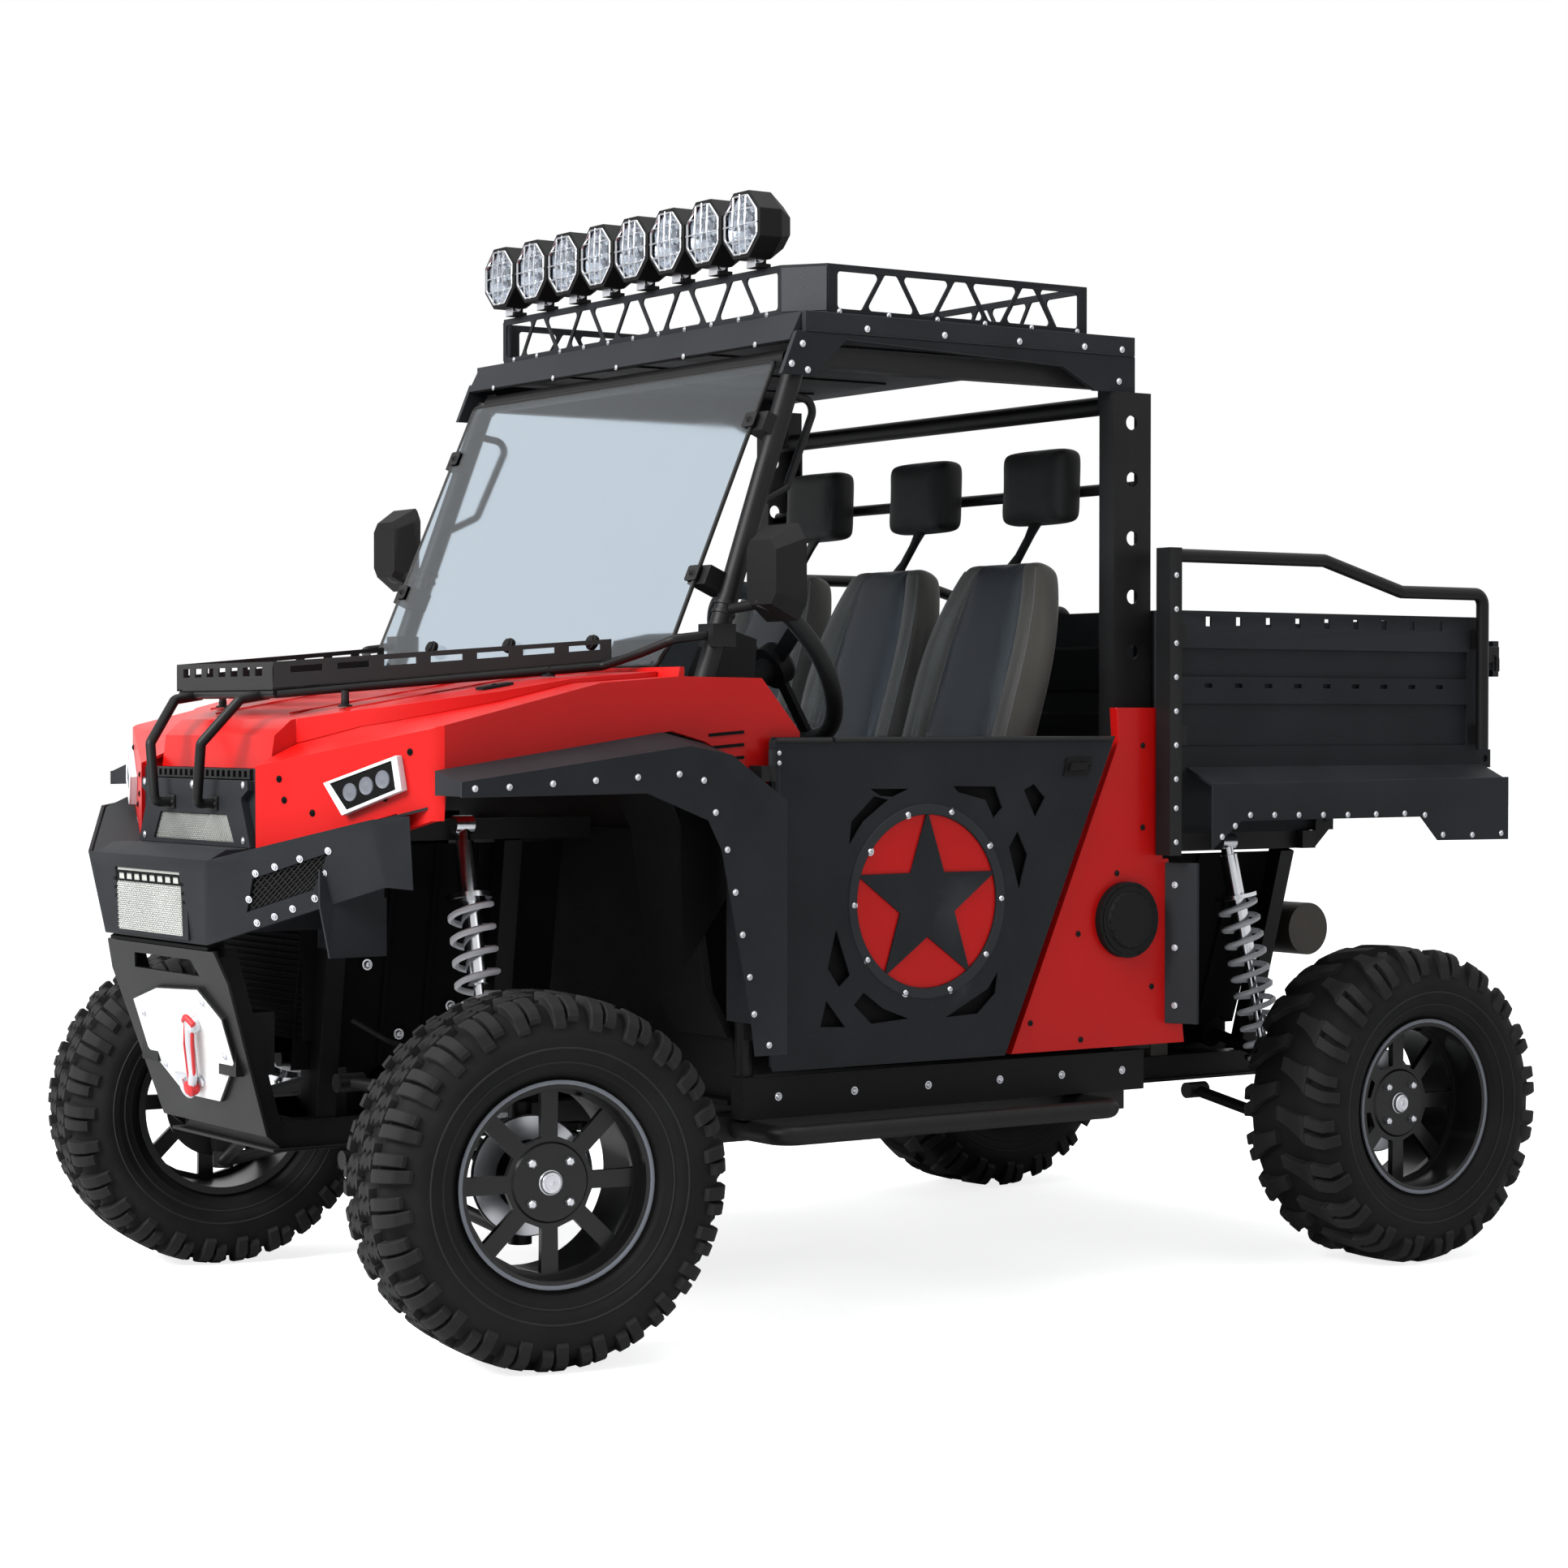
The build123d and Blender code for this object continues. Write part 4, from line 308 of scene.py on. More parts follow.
def rounded(points, bend, closed=False, steps=5):
    """Path through points with each corner replaced by an arc of about the bend radius."""
    if not bend:
        return points
    path = []
    count = len(points)
    for index, point in enumerate(points):
        if not closed and index in (0, count - 1):
            path.append(point)
            continue
        last, following = points[index - 1], points[(index + 1) % count]
        before = (last - point).normalized()
        after = (following - point).normalized()
        half = before.angle(after) / 2
        reach = min(bend / math.tan(half), (last - point).length * 0.49, (following - point).length * 0.49)
        first, end = point + before * reach, point + after * reach
        for share in (step / steps for step in range(steps + 1)):
            path.append(first * (1 - share) ** 2 + point * 2 * share * (1 - share) + end * share ** 2)
    return path


class Piece:
    """A mesh in the making, in millimetres, mirrored to the passenger's side while side is -1."""

    def __init__(self, side=1):
        self.mesh = bmesh.new()
        self.side = side
        self.drawn = []

    def flip(self, point):
        return Vector((point[0] * self.side, point[1], point[2]))

    def mirror(self):
        """Draws all that is there once more on the passenger's side."""
        self.side = -1
        for draw, parts in self.drawn[:]:
            draw(*parts)
        self.side = 1

    def skin(self, rings, looped=False):
        """Quads between rings of equal length, with end caps unless it is looped."""
        rows = [[self.mesh.verts.new(point) for point in ring] for ring in rings]
        if looped:
            rows.append(rows[0])
        count = len(rows[0])
        for first, second in zip(rows, rows[1:]):
            for index in range(count):
                after = (index + 1) % count
                self.mesh.faces.new((first[index], first[after], second[after], second[index]))
        if not looped:
            self.mesh.faces.new(rows[0][::-1])
            self.mesh.faces.new(rows[-1])

    def loft(self, rings, looped=False):
        self.drawn.append((self.loft, (rings, looped)))
        self.skin([[self.flip(point) for point in ring] for ring in rings], looped)

    def prism(self, outline, along):
        """A flat outline in space, made thick along a vector."""
        along = Vector(along)
        self.loft([[Vector(point) for point in outline], [Vector(point) + along for point in outline]])

    def plate(self, axis, level, outline, thick):
        """A plate square to an axis, from an outline in the other two."""
        points = [(*pair[:axis], level, *pair[axis:]) for pair in outline]
        self.prism(points, [thick if index == axis else 0 for index in range(3)])

    def block(self, low, high):
        self.plate(2, low[2], oblong(low[0], high[0], low[1], high[1]), high[2] - low[2])

    def turned(self, origin, axis, profile, steps=24):
        """A surface of revolution through (distance along the axis, radius) pairs."""
        self.drawn.append((self.turned, (origin, axis, profile, steps)))
        origin, axis = self.flip(origin), self.flip(axis).normalized()
        side = axis.orthogonal().normalized()
        other = axis.cross(side)
        spokes = [side * math.cos(turn) + other * math.sin(turn) for turn in turns(steps)]
        self.skin([
            [origin + axis * along + spoke * max(radius, 0.01) for spoke in spokes]
            for along, radius in profile])

    def lathe(self, wheel, loop, steps=64):
        """A closed ring round a wheel's axis with a cross-section of (outboard distance, radius) pairs."""
        self.loft([
            [wheel.at(along, radius, turn) for along, radius in loop] for turn in turns(steps)], looped=True)

    def tube(self, points, radius, bend=0.0, sides=12, closed=False, flat=1.0):
        """A round bar along runs whose corners are rounded to the bend radius."""
        self.drawn.append((self.tube, (points, radius, bend, sides, closed, flat)))
        path = rounded([self.flip(point) for point in points], bend, closed)
        rings = []
        side = None
        count = len(path)
        for index, point in enumerate(path):
            before = path[index - 1] if index or closed else point
            after = path[(index + 1) % count] if index + 1 < count or closed else point
            run = (after - before).normalized()
            side = run.orthogonal() if side is None else side - run * side.dot(run)
            side.normalize()
            other = run.cross(side)
            rings.append([
                point + side * math.cos(turn) * radius + other * math.sin(turn) * radius * flat
                for turn in turns(sides)])
        self.skin(rings, closed)

    def bolt(self, place, normal, radius=7.0, height=4.5):
        """A button-head bolt with its socket on a washer."""
        self.turned(place, normal, [
            (0, radius * 1.35), (1.2, radius * 1.35), (1.25, radius), (height * 0.62, radius * 0.92),
            (height, radius * 0.62), (height, radius * 0.42), (height * 0.45, radius * 0.36)], steps=12)

    def bolts(self, x, spots, radius, height):
        """Bolts on the driver's flank at (y, z) spots."""
        for y, z in spots:
            self.bolt((x, y, z), (1, 0, 0), radius, height)

    def piece(self, name, finish, body="chassis", edge=0.0, slot=None):
        """The finished object, riding on a body."""
        bmesh.ops.recalc_face_normals(self.mesh, faces=self.mesh.faces)
        self.mesh.transform(Matrix.Scale(MM, 4))
        data = bpy.data.meshes.new(name)
        self.mesh.to_mesh(data)
        self.mesh.free()
        thing = bpy.data.objects.new(name, data)
        bpy.context.scene.collection.objects.link(thing)
        thing.data.materials.append(FINISH[finish])
        dress(thing, edge)
        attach(thing, body)
        return thing


WHEEL_NAMES = ("front_left", "front_right", "rear_left", "rear_right")
# Distance over the tread from its middle, with the tyre's tread surface and the groove floor below it
TREAD = ((0, 0, 340), (30, 30, 340), (60, 60, 339.5), (88, 88, 338), (104, 104, 331), (119, 118.5, 320),
         (135, 125, 304), (160, 130.5, 280), (178, 130.8, 262))
FLOOR = ((0, 0, 325), (30, 30, 325), (60, 60, 324), (88, 88, 321), (104, 98, 315), (119, 108, 306),
         (135, 117, 294), (160, 126.5, 274), (178, 128.2, 262))
WALL = ((90, 178.8), (93, 186), (97, 193), (110, 203), (113, 205), (114, 209), (124, 232), (126.5, 236),
        (127, 240), (129.5, 256), (129, 266), (126.5, 274), (117, 294), (108, 306), (98, 315), (88, 321),
        (60, 324), (30, 325), (0, 325))


class Wheel:
    """Places points by a wheel's own axis: outboard distance, radius and turn."""

    def __init__(self, name, squeeze=1.0):
        self.front = name.startswith("front")
        self.squeeze = squeeze if self.front else 1.0
        self.side = 1 if name.endswith("left") else -1
        steer = REST_STEER if self.front else 0.0
        self.out = Vector((self.side * math.cos(steer), self.side * math.sin(steer), 0))
        self.up = Vector((0, 0, 1))
        self.fore = self.up.cross(self.out)
        axle = FRONT_AXLE_Y if self.front else REAR_AXLE_Y
        self.centre = Vector((self.side * KING_X, axle, TYRE_R)) + self.out * (WHEEL_X - KING_X)

    def at(self, along, radius, turn):
        spoke = self.up * math.cos(turn) + self.fore * math.sin(turn)
        return self.centre + self.out * along * self.squeeze + spoke * radius


def between(table, distance):
    """Outboard distance and radius at a distance over the tread."""
    for first, second in zip(table, table[1:]):
        if distance <= second[0]:
            share = (distance - first[0]) / (second[0] - first[0])
            return [low + (high - low) * share for low, high in zip(first[1:], second[1:])]
    return table[-1][1:]


def tread_block(made, wheel, side, rows, draft=0.007):
    """A rubber block over rows of (distance over the tread, start turn, end turn)."""
    rings = []
    for distance, start, end in rows:
        top, top_r = between(TREAD, distance)
        low, low_r = between(FLOOR, distance)
        near, near_r = top * 0.86 + low * 0.14, top_r * 0.86 + low_r * 0.14
        rings.append([
            wheel.at(side * low, low_r - 1, start), wheel.at(side * near, near_r, start + draft * 0.5),
            wheel.at(side * top, top_r, start + draft * 1.3), wheel.at(side * top, top_r, end - draft * 1.3),
            wheel.at(side * near, near_r, end - draft * 0.5), wheel.at(side * low, low_r - 1, end)])
    made.loft(rings)


def front_tread(made, wheel, lugs=26):
    """Paired shoulder blocks with a sipe between them, and two staggered zigzag rows in the middle."""
    pitch = math.tau / lugs
    for side in (1, -1):
        for start in turns(lugs, 0.5 if side < 0 else 0.0):
            for low, high, far in ((-0.36, -0.02, 150), (0.03, 0.34, 134)):
                tread_block(made, wheel, side, [
                    (reach, start + (low + 0.0011 * reach) * pitch, start + (high + 0.0011 * reach) * pitch)
                    for reach in (68, 88, 104, 119, 128, far)])
            for low, high in ((-0.33, -0.02), (0.02, 0.33)):
                tread_block(made, wheel, side, [
                    (reach, start + (low + lean) * pitch, start + (high + lean) * pitch)
                    for reach, lean in ((5, 0.24), (19, 0.38), (33, 0.26), (47, 0.4), (60, 0.28))])


def rear_tread(made, wheel, lugs=20):
    """Chevron lugs that fork in two at the shoulder."""
    pitch = math.tau / lugs
    for side in (1, -1):
        for start in turns(lugs, 0.5 if side < 0 else 0.0):
            tread_block(made, wheel, side, [
                (reach, start + (low - 0.0034 * reach) * pitch, start + (high - 0.0034 * reach) * pitch)
                for reach, low, high in (
                    (4, -0.15, 0.15), (36, -0.17, 0.17), (66, -0.24, 0.22), (82, -0.32, 0.3))])
            for low, high, far in ((-0.32, -0.05, 158), (0.04, 0.3, 146)):
                rows = [
                    (reach, start - 0.0034 * min(reach, 119) * pitch) for reach in (84, 104, 119, 132, far)]
                tread_block(made, wheel, side, [
                    (reach, begin + low * pitch, begin + high * pitch) for reach, begin in rows])


def make_tyres():
    """Tyres with separate lugs over a ribbed side wall, the front ones a hair narrower than their solids."""
    for name in WHEEL_NAMES:
        wheel = Wheel(name, squeeze=0.983)
        made = Piece()
        made.lathe(wheel, [(-along, radius) for along, radius in WALL[:-1]] + list(WALL[::-1]), steps=96)
        for side in (1, -1):
            for radius, along in ((222, 120.2), (248, 128.4)):
                made.lathe(wheel, [
                    (side * (along + 1.6 * math.cos(bit)), radius + 2.2 * math.sin(bit))
                    for bit in turns(4)], steps=72)
        (front_tread if wheel.front else rear_tread)(made, wheel)
        thing = made.piece("tyre_dressed_" + name, "rubber", "wheel_" + name, slot="tyre")
        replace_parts(thing, "tyre_" + name)


def make_wheel_trim():
    """Nuts, bead ring, brake disc, valve and caliper of each wheel."""
    for name in WHEEL_NAMES:
        wheel = Wheel(name)
        body = "wheel_" + name
        hub = 68.0 if wheel.front else 26.0
        nuts = Piece()
        nuts.turned(wheel.at(hub, 0, 0), wheel.out, [
            (0, 23), (2, 23), (3, 21), (9, 19), (11, 15), (9.5, 13), (9.5, 5), (11, 3)], steps=32)
        for turn in turns(4, 0.5):
            nuts.turned(wheel.at(hub - 4, 52, turn), wheel.out, [
                (0, 12), (2, 12), (2.2, 9), (12, 8.6), (15, 5)], steps=6)
        nuts.piece("wheel_nuts_" + name, "silver", body, edge=0.6)
        ring = Piece()
        ring.lathe(wheel, [(100, 188.3), (104.5, 188.3), (105.5, 185), (104, 181), (101, 180)])
        ring.piece("bead_ring_" + name, "bead", body)
        disc = Piece()
        disc.lathe(wheel, oblong(-37.8, -34.5, 66, 110))
        disc.piece("brake_disc_" + name, "silver", body, edge=0.8)
        valve = Piece()
        valve.turned(wheel.at(hub - 10, 166, 0.35), wheel.out, [
            (0, 4), (14, 3.6), (15, 2.6), (22, 2.6), (23, 1.5)], steps=10)
        valve.piece("valve_" + name, "plastic", body)
        grip = Piece()
        for end, deep in ((0.42, 6), (0.3, 0)):
            grip.loft([
                [wheel.at(along, radius, wheel.side * math.radians(75) + end * (step / 4 - 1))
                 for along, radius in (
                    (-32 + deep, 72 + deep), (-22 - deep / 2, 78 + deep), (-22 - deep / 2, 112 - deep),
                    (-30, 122 - deep), (-50, 122 - deep), (-50, 113))]
                for step in range(9)])
        carrier = name.replace("front", "knuckle") if wheel.front else "chassis"
        grip.piece("brake_caliper_" + name, "caliper", carrier, edge=0.8)


CHEEK_FOOT = Vector((262, -1380, 0))
CHEEK_NORMAL = Vector((156, -402, 0)).normalized()
WINCH_FOOT = Vector((0, -1346, 385))
WINCH_NORMAL = Vector((0, -0.952, -0.307)).normalized()
WINCH_RISE = Vector((0, -0.307, 0.952))


def on_cheek(point, lift):
    """A point moved square to the red cheek beside the grille, to a height over it."""
    point = Vector(point)
    return point + CHEEK_NORMAL * (lift - (point - CHEEK_FOOT).dot(CHEEK_NORMAL))


def on_winch(x, z, lift):
    """A point over the winch frame's sloping front."""
    base = WINCH_FOOT + WINCH_RISE * ((z - WINCH_FOOT.z) / WINCH_RISE.z)
    return Vector((x, base.y, base.z)) + WINCH_NORMAL * lift


def woven(made, corners, pitch, wire, lift):
    """Crossing wires over a four-cornered field, clipped to it, with the corners in order round the field."""
    a, b, c, d = [Vector(corner) for corner in corners]
    wide = ((b - a).length + (c - d).length) / 2
    tall = ((d - a).length + (c - b).length) / 2
    normal = (b - a).cross(d - a).normalized()
    run = tall / wide
    count = int((1 + run) * wide / pitch)
    for way in (1, -1):
        for index in range(count + 1):
            low = -run + (1 + run) * index / count
            start, end = max(0.0, -low / run), min(1.0, (1 - low) / run)
            if end - start < 0.04:
                continue
            points = []
            for v in (start, end):
                u = low + run * v if way == 1 else 1 - low - run * v
                spot = a.lerp(b, u).lerp(d.lerp(c, u), v)
                points.append(spot + normal * (lift + way * made.side * wire * 0.5))
            made.tube(points, wire, sides=5)


def shrunk(points, margin):
    """Outline drawn in towards its middle by about a margin."""
    middle = sum(points, Vector()) / len(points)
    return [point + (middle - point).normalized() * margin * 1.4 for point in points]


def make_headlamps():
    """A pale frame round a dark well, with three reflectors behind a mesh."""
    lens = [on_cheek(point, 12.5) for point in (
        (433, -1314, 1056), (598, -1250, 1108), (610, -1245, 1045), (475, -1297, 997))]
    field = shrunk(lens, 11)
    inner = shrunk(lens, 12)
    thick = CHEEK_NORMAL * 4
    for side, name in SIDES:
        rim = Piece(side)
        rim.loft([
            [outer, hole, hole + thick, outer + thick] for outer, hole in zip(lens, field)], looped=True)
        rim.piece("headlamp_rim_" + name, "lit", edge=1.5)
        well = Piece(side)
        well.prism(shrunk(lens, 10), CHEEK_NORMAL * 0.8)
        well.piece("headlamp_well_" + name, "dark")
        wires = Piece(side)
        woven(wires, field, 11, 0.8, 2.0)
        wires.piece("headlamp_mesh_" + name, "bead")
        bulbs = Piece(side)
        for u in (0.2, 0.5, 0.8):
            spot = (inner[0].lerp(inner[1], u) + inner[3].lerp(inner[2], u)) / 2
            bulbs.turned(spot + CHEEK_NORMAL * 0.8, CHEEK_NORMAL, [
                (0, 17), (1.6, 16), (0.9, 13), (0.6, 6), (1.2, 3)])
        bulbs.piece("headlamp_bulbs_" + name, "bead")


def make_grille():
    """Mesh, slotted strip, bolts, and the feet of the rack's legs on the grille."""
    panel = Piece()
    panel.plate(1, -1379.2, ((-182, 941), (182, 941), (151, 991), (-151, 991)), -2.5)
    panel.piece("grille_backing", "gauze")
    wires = Piece()
    woven(wires, [(x, -1383, z) for x, z in (
        (-183, 940.5), (183, 940.5), (152, 991.5), (-152, 991.5))], 8, 0.9, 0.0)
    wires.piece("grille_mesh", "mesh")
    strip = Piece()
    for low, high in ((1060, 1064), (1076, 1079.5)):
        strip.block((-236, -1379.5, low), (236, -1372.3, high))
    for index in range(20):
        x = -236 + 24.2 * index
        strip.block((x, -1379.5, 1064), (x + 11, -1372.3, 1076))
    strip.piece("grille_slots", "frame", edge=0.5)
    bolts = Piece()
    for x, z, radius, height in ((-226, 1050, 5, 3), (226, 1050, 5, 3), (-226, 945, 5, 3), (226, 945, 5, 3),
                                 (0, 1048, 6, 4)):
        bolts.bolt((x, -1388.2, z), (0, -1, 0), radius, height)
    bolts.piece("grille_bolts", "silver")
    legs = Piece()
    legs.plate(1, -1388.4, oblong(78, 118, 1000, 1026), -4)
    for x in (85, 111):
        legs.bolt((x, -1392.4, 1012), (0, -1, 0), 4, 3)
    legs.mirror()
    legs.piece("rack_leg_feet", "frame", edge=0.8)


def make_bumper():
    """The bumper's mesh panel, slots, notches, bolts and seams, on its sloping face."""
    def face(outline, shift):
        return [(x, -1488 + (912 - z) / 160 * 19 + shift, z) for x, z in outline]

    def behind(outline, shift=0.0):
        return [(x, -1476.2 - (z - 758) / 132 * 4.6 + shift, z) for x, z in outline]

    panel = Piece()
    panel.prism(behind(oblong(-147, 147, 765, 885)), (0, 3, 0))
    panel.piece("bumper_backing", "gauze")
    wires = Piece()
    woven(wires, behind(oblong(-148, 148, 765, 858), -1.2), 8, 0.9, 0.0)
    wires.piece("bumper_mesh", "mesh")
    strip = Piece()
    for low, high in ((859, 863), (875, 880)):
        strip.prism(face(oblong(-149, 149, low, high), 0.4), (0, 5, 0))
    for index in range(9):
        x = -149 + 36.1 * index
        strip.prism(face(oblong(x, x + 9.2, 863, 875), 0.6), (0, 5, 0))
    strip.piece("bumper_slots", "dark", edge=0.5)
    teeth = Piece()
    for z in range(774, 860, 17):
        y = -1488 + (908 - z) / 160 * 19
        teeth.plate(1, y - 0.4, ((150, z), (163, z + 1), (163, z + 7), (150, z + 8)), 1.2)
    teeth.mirror()
    teeth.piece("bumper_notches", "dark")
    bolts = Piece()
    corner = Vector((275, -1488, 912))
    normal = (Vector((605, -1289, 870)) - corner).cross(Vector((610, -1318, 993)) - corner).normalized()
    normal = -normal if normal.y > 0 else normal
    for spot in (
            (372, -1439, 888), (412, -1419, 901), (463, -1393, 917), (520, -1364, 933), (506, -1371, 890),
            (482, -1383, 841), (436, -1406, 820), (398, -1425, 804), (362, -1444, 791), (352, -1449, 837)):
        spot = Vector(spot)
        bolts.bolt(spot + normal * (0.2 - (spot - corner).dot(normal)), normal, 5.2, 4)
    bolts.mirror()
    bolts.piece("bumper_bolts", "silver")
    lip = Piece()
    lip.prism([(250, -1436, 925.4), (258, -1436, 925.4), (258, -1392, 930.6), (250, -1392, 930.6)],
              (0, 0, 1.2))
    lip.mirror()
    lip.piece("bumper_seams", "dark")


def make_winch():
    """Fairlead plate with its mouth, the hook in its red guard, and the rope on the drum."""
    plate = Piece()
    plate.prism([on_winch(x, z, 8.3) for x, z in (
        (-184, 625), (-53, 655), (140, 664), (211, 611), (208, 528), (89, 444), (-68, 444), (-184, 528))],
        WINCH_NORMAL * 1.6)
    plate.piece("fairlead_plate", "fairlead", edge=0.6)
    mouth = Piece()
    mouth.prism([on_winch(x, z, 10.2) for x, z in (
        (-74, 470), (40, 470), (48, 480), (40, 490), (-74, 490), (-82, 480))], WINCH_NORMAL * 6)
    mouth.piece("fairlead_mouth", "silver", edge=2.0)
    hook = Piece()
    hook.tube([on_winch(x, z, 26) for x, z in ((92, 596), (70, 560), (42, 500), (22, 478))], 9, 18, sides=14)
    hook.tube([on_winch(x, z, 26) for x, z in ((22, 478), (0, 452), (-22, 462), (-24, 486))], 8, 16, sides=14)
    hook.turned(on_winch(92, 596, 10), WINCH_NORMAL, [(0, 16), (14, 16), (20, 13), (22, 5)])
    hook.piece("winch_hook", "silver", edge=0.8)
    strap = Piece()
    for shift in (-17, 17):
        strap.tube([on_winch(x, z, lift) for x, z, lift in (
            (92 + shift * 0.9, 604, 24), (66 + shift, 560, 27), (38 + shift * 0.8, 505, 27),
            (20 + shift * 0.4, 476, 26))], 3.6, 16, sides=10, flat=1.3)
    strap.tube([on_winch(74, 606, 25), on_winch(92, 616, 27), on_winch(112, 600, 25)], 6.0, 8)
    strap.turned(on_winch(14, 470, 14), WINCH_NORMAL, [(0, 12), (6, 16), (20, 16), (25, 9)], steps=20)
    strap.piece("winch_hook_guard", "hook_red", edge=0.5)
    bolts = Piece()
    for x, z in ((-150, 600), (-120, 500), (150, 640), (180, 540)):
        bolts.bolt(on_winch(x, z, 10), WINCH_NORMAL, 6, 4)
    bolts.piece("fairlead_bolts", "silver")
    drum = Piece()
    for turn in range(26):
        drum.turned((-104 + turn * 8.2, -1350, 560), (1, 0, 0), [
            (0, 50.2), (2, 53), (4.1, 54), (6.2, 53), (8.2, 50.2)], steps=28)
    drum.piece("winch_rope_turns", "rope")


def make_nose_trim():
    """Screws, seams, ribs, catches and slats of the hood and its side panels."""
    screws = Piece()
    for spot in (
            (330, -1354, 1023), (318, -1358, 1062), (616, -1243, 1114), (395, -1328, 1000),
            (560, -1264, 1030)):
        screws.bolt(on_cheek(spot, 0), CHEEK_NORMAL, 5, 3.5)
    screws.mirror()
    screws.piece("cheek_screws", "dark")
    seams = Piece()
    for y in (-876, -731):
        seams.plate(0, 672.6, oblong(y - 1.2, y + 1.2, 1160, 1236), 0.4)
    seams.mirror()
    seams.piece("cowl_seams", "dark")
    lines = Piece()
    for x, foot in ((330, -1210), (180, -1262)):
        lines.tube([
            (x * 0.92, foot, 1192.5 + (foot + 1216) * 0.17), (x, -876, 1250.6), (x * 1.05, -716, 1262.6)],
            2.2, 30, 8)
    lines.mirror()
    lines.piece("hood_ribs", "red")
    catch = Piece()
    catch.prism([(440, -1010, 1228.5), (470, -1010, 1228.5), (480, -950, 1238.5), (448, -950, 1238.5)],
                (0, 0, 5))
    catch.bolt((460, -980, 1238.4), (0, 0, 1), 5, 3)
    catch.mirror()
    catch.piece("hood_catches", "plastic", edge=1.0)
    flare = Piece()
    flare.bolts(FLARE_X, (
        (-1200, 1050), (-1130, 1052), (-1040, 1057), (-950, 1062), (-860, 1067), (-770, 1072), (-716, 1060),
        (-690, 1000), (-664, 930), (-646, 850), (-630, 770), (-614, 690), (-604, 620), (-570, 560)), 4.6, 3.2)
    flare.mirror()
    flare.piece("flare_bolts", "silver")
    slats = Piece()
    for z in (1092, 1116, 1140):
        slats.plate(0, 678.2, ((-640, z), (-560, z + 6), (-560, z + 12), (-640, z + 6)), 1.4)
    slats.mirror()
    slats.piece("cowl_slats", "dark")


LAMPS = 8
LAMP_SPAN = 960.0
LAMP_Y = -392.0
LAMP_Z = 2146.0
LAMP_R = 66.0


def make_roof_lamps():
    """Eight octagonal lamps: bowl, lens, ring of diodes, wire guard and bolted foot."""
    bowl, glass, guard, led, feet = [Piece() for _ in range(5)]
    front = (0, -1, 0)
    for index in range(LAMPS):
        x = -LAMP_SPAN / 2 + LAMP_SPAN * index / (LAMPS - 1)
        bowl.turned((x, LAMP_Y - 21, LAMP_Z), front, [
            (0, 6), (1.5, 12), (4, 24), (8, 38), (13, 50), (15, 56), (14, 57.5), (8, 57.5), (0, 40)],
            steps=32)
        glass.turned((x, LAMP_Y - 36.5, LAMP_Z), front, [(0, 57), (1.5, 57), (2.8, 40), (3.4, 8)], steps=32)
        for radius, count in ((0, 1), (22, 4), (40, 8)):
            for turn in turns(count):
                spot = (x + radius * math.cos(turn), LAMP_Y - 27 - radius * 0.12,
                        LAMP_Z + radius * math.sin(turn))
                led.turned(spot, front, [(0, 6.5), (2, 6.2), (4.4, 3.6), (5, 1)], steps=8)
        y = LAMP_Y - 43
        guard.tube([(x + 61 * math.cos(turn), y, LAMP_Z + 61 * math.sin(turn)) for turn in turns(8, 0.5)],
                   2.6, 8, sides=8, closed=True)
        for shift in (-22, 0, 22):
            half = 60 - abs(shift) * 0.22
            guard.tube([(x + shift, y - 2, LAMP_Z - half), (x + shift, y - 5, LAMP_Z),
                        (x + shift, y - 2, LAMP_Z + half)], 1.9, 30, sides=8)
        for shift in (-30, 0, 30):
            half = 60 - abs(shift) * 0.3
            guard.tube([(x - half, y - 1, LAMP_Z + shift), (x, y - 3.2, LAMP_Z + shift),
                        (x + half, y - 1, LAMP_Z + shift)], 1.9, 30, sides=8)
        for shift in (-13, 13):
            feet.bolt((x + shift, LAMP_Y - 10, 2072.2), (0, 0, 1), 4.2, 4)
        feet.block((x - 15, LAMP_Y - 18.5, 2064.6), (x + 15, LAMP_Y - 16.2, 2082))
        feet.turned((x - 13, LAMP_Y - 3, LAMP_Z - LAMP_R + 2), (1, 0, 0), [(0, 8), (26, 8)], steps=12)
    bowl.piece("lamp_bowls", "chrome", slot="chrome")
    glass.piece("lamp_lenses", "lens", slot="lamp")
    guard.piece("lamp_guards", "chrome", slot="chrome")
    led.piece("lamp_diodes", "lit", slot="lamp")
    feet.piece("lamp_feet", "silver", edge=0.5, slot="silver")


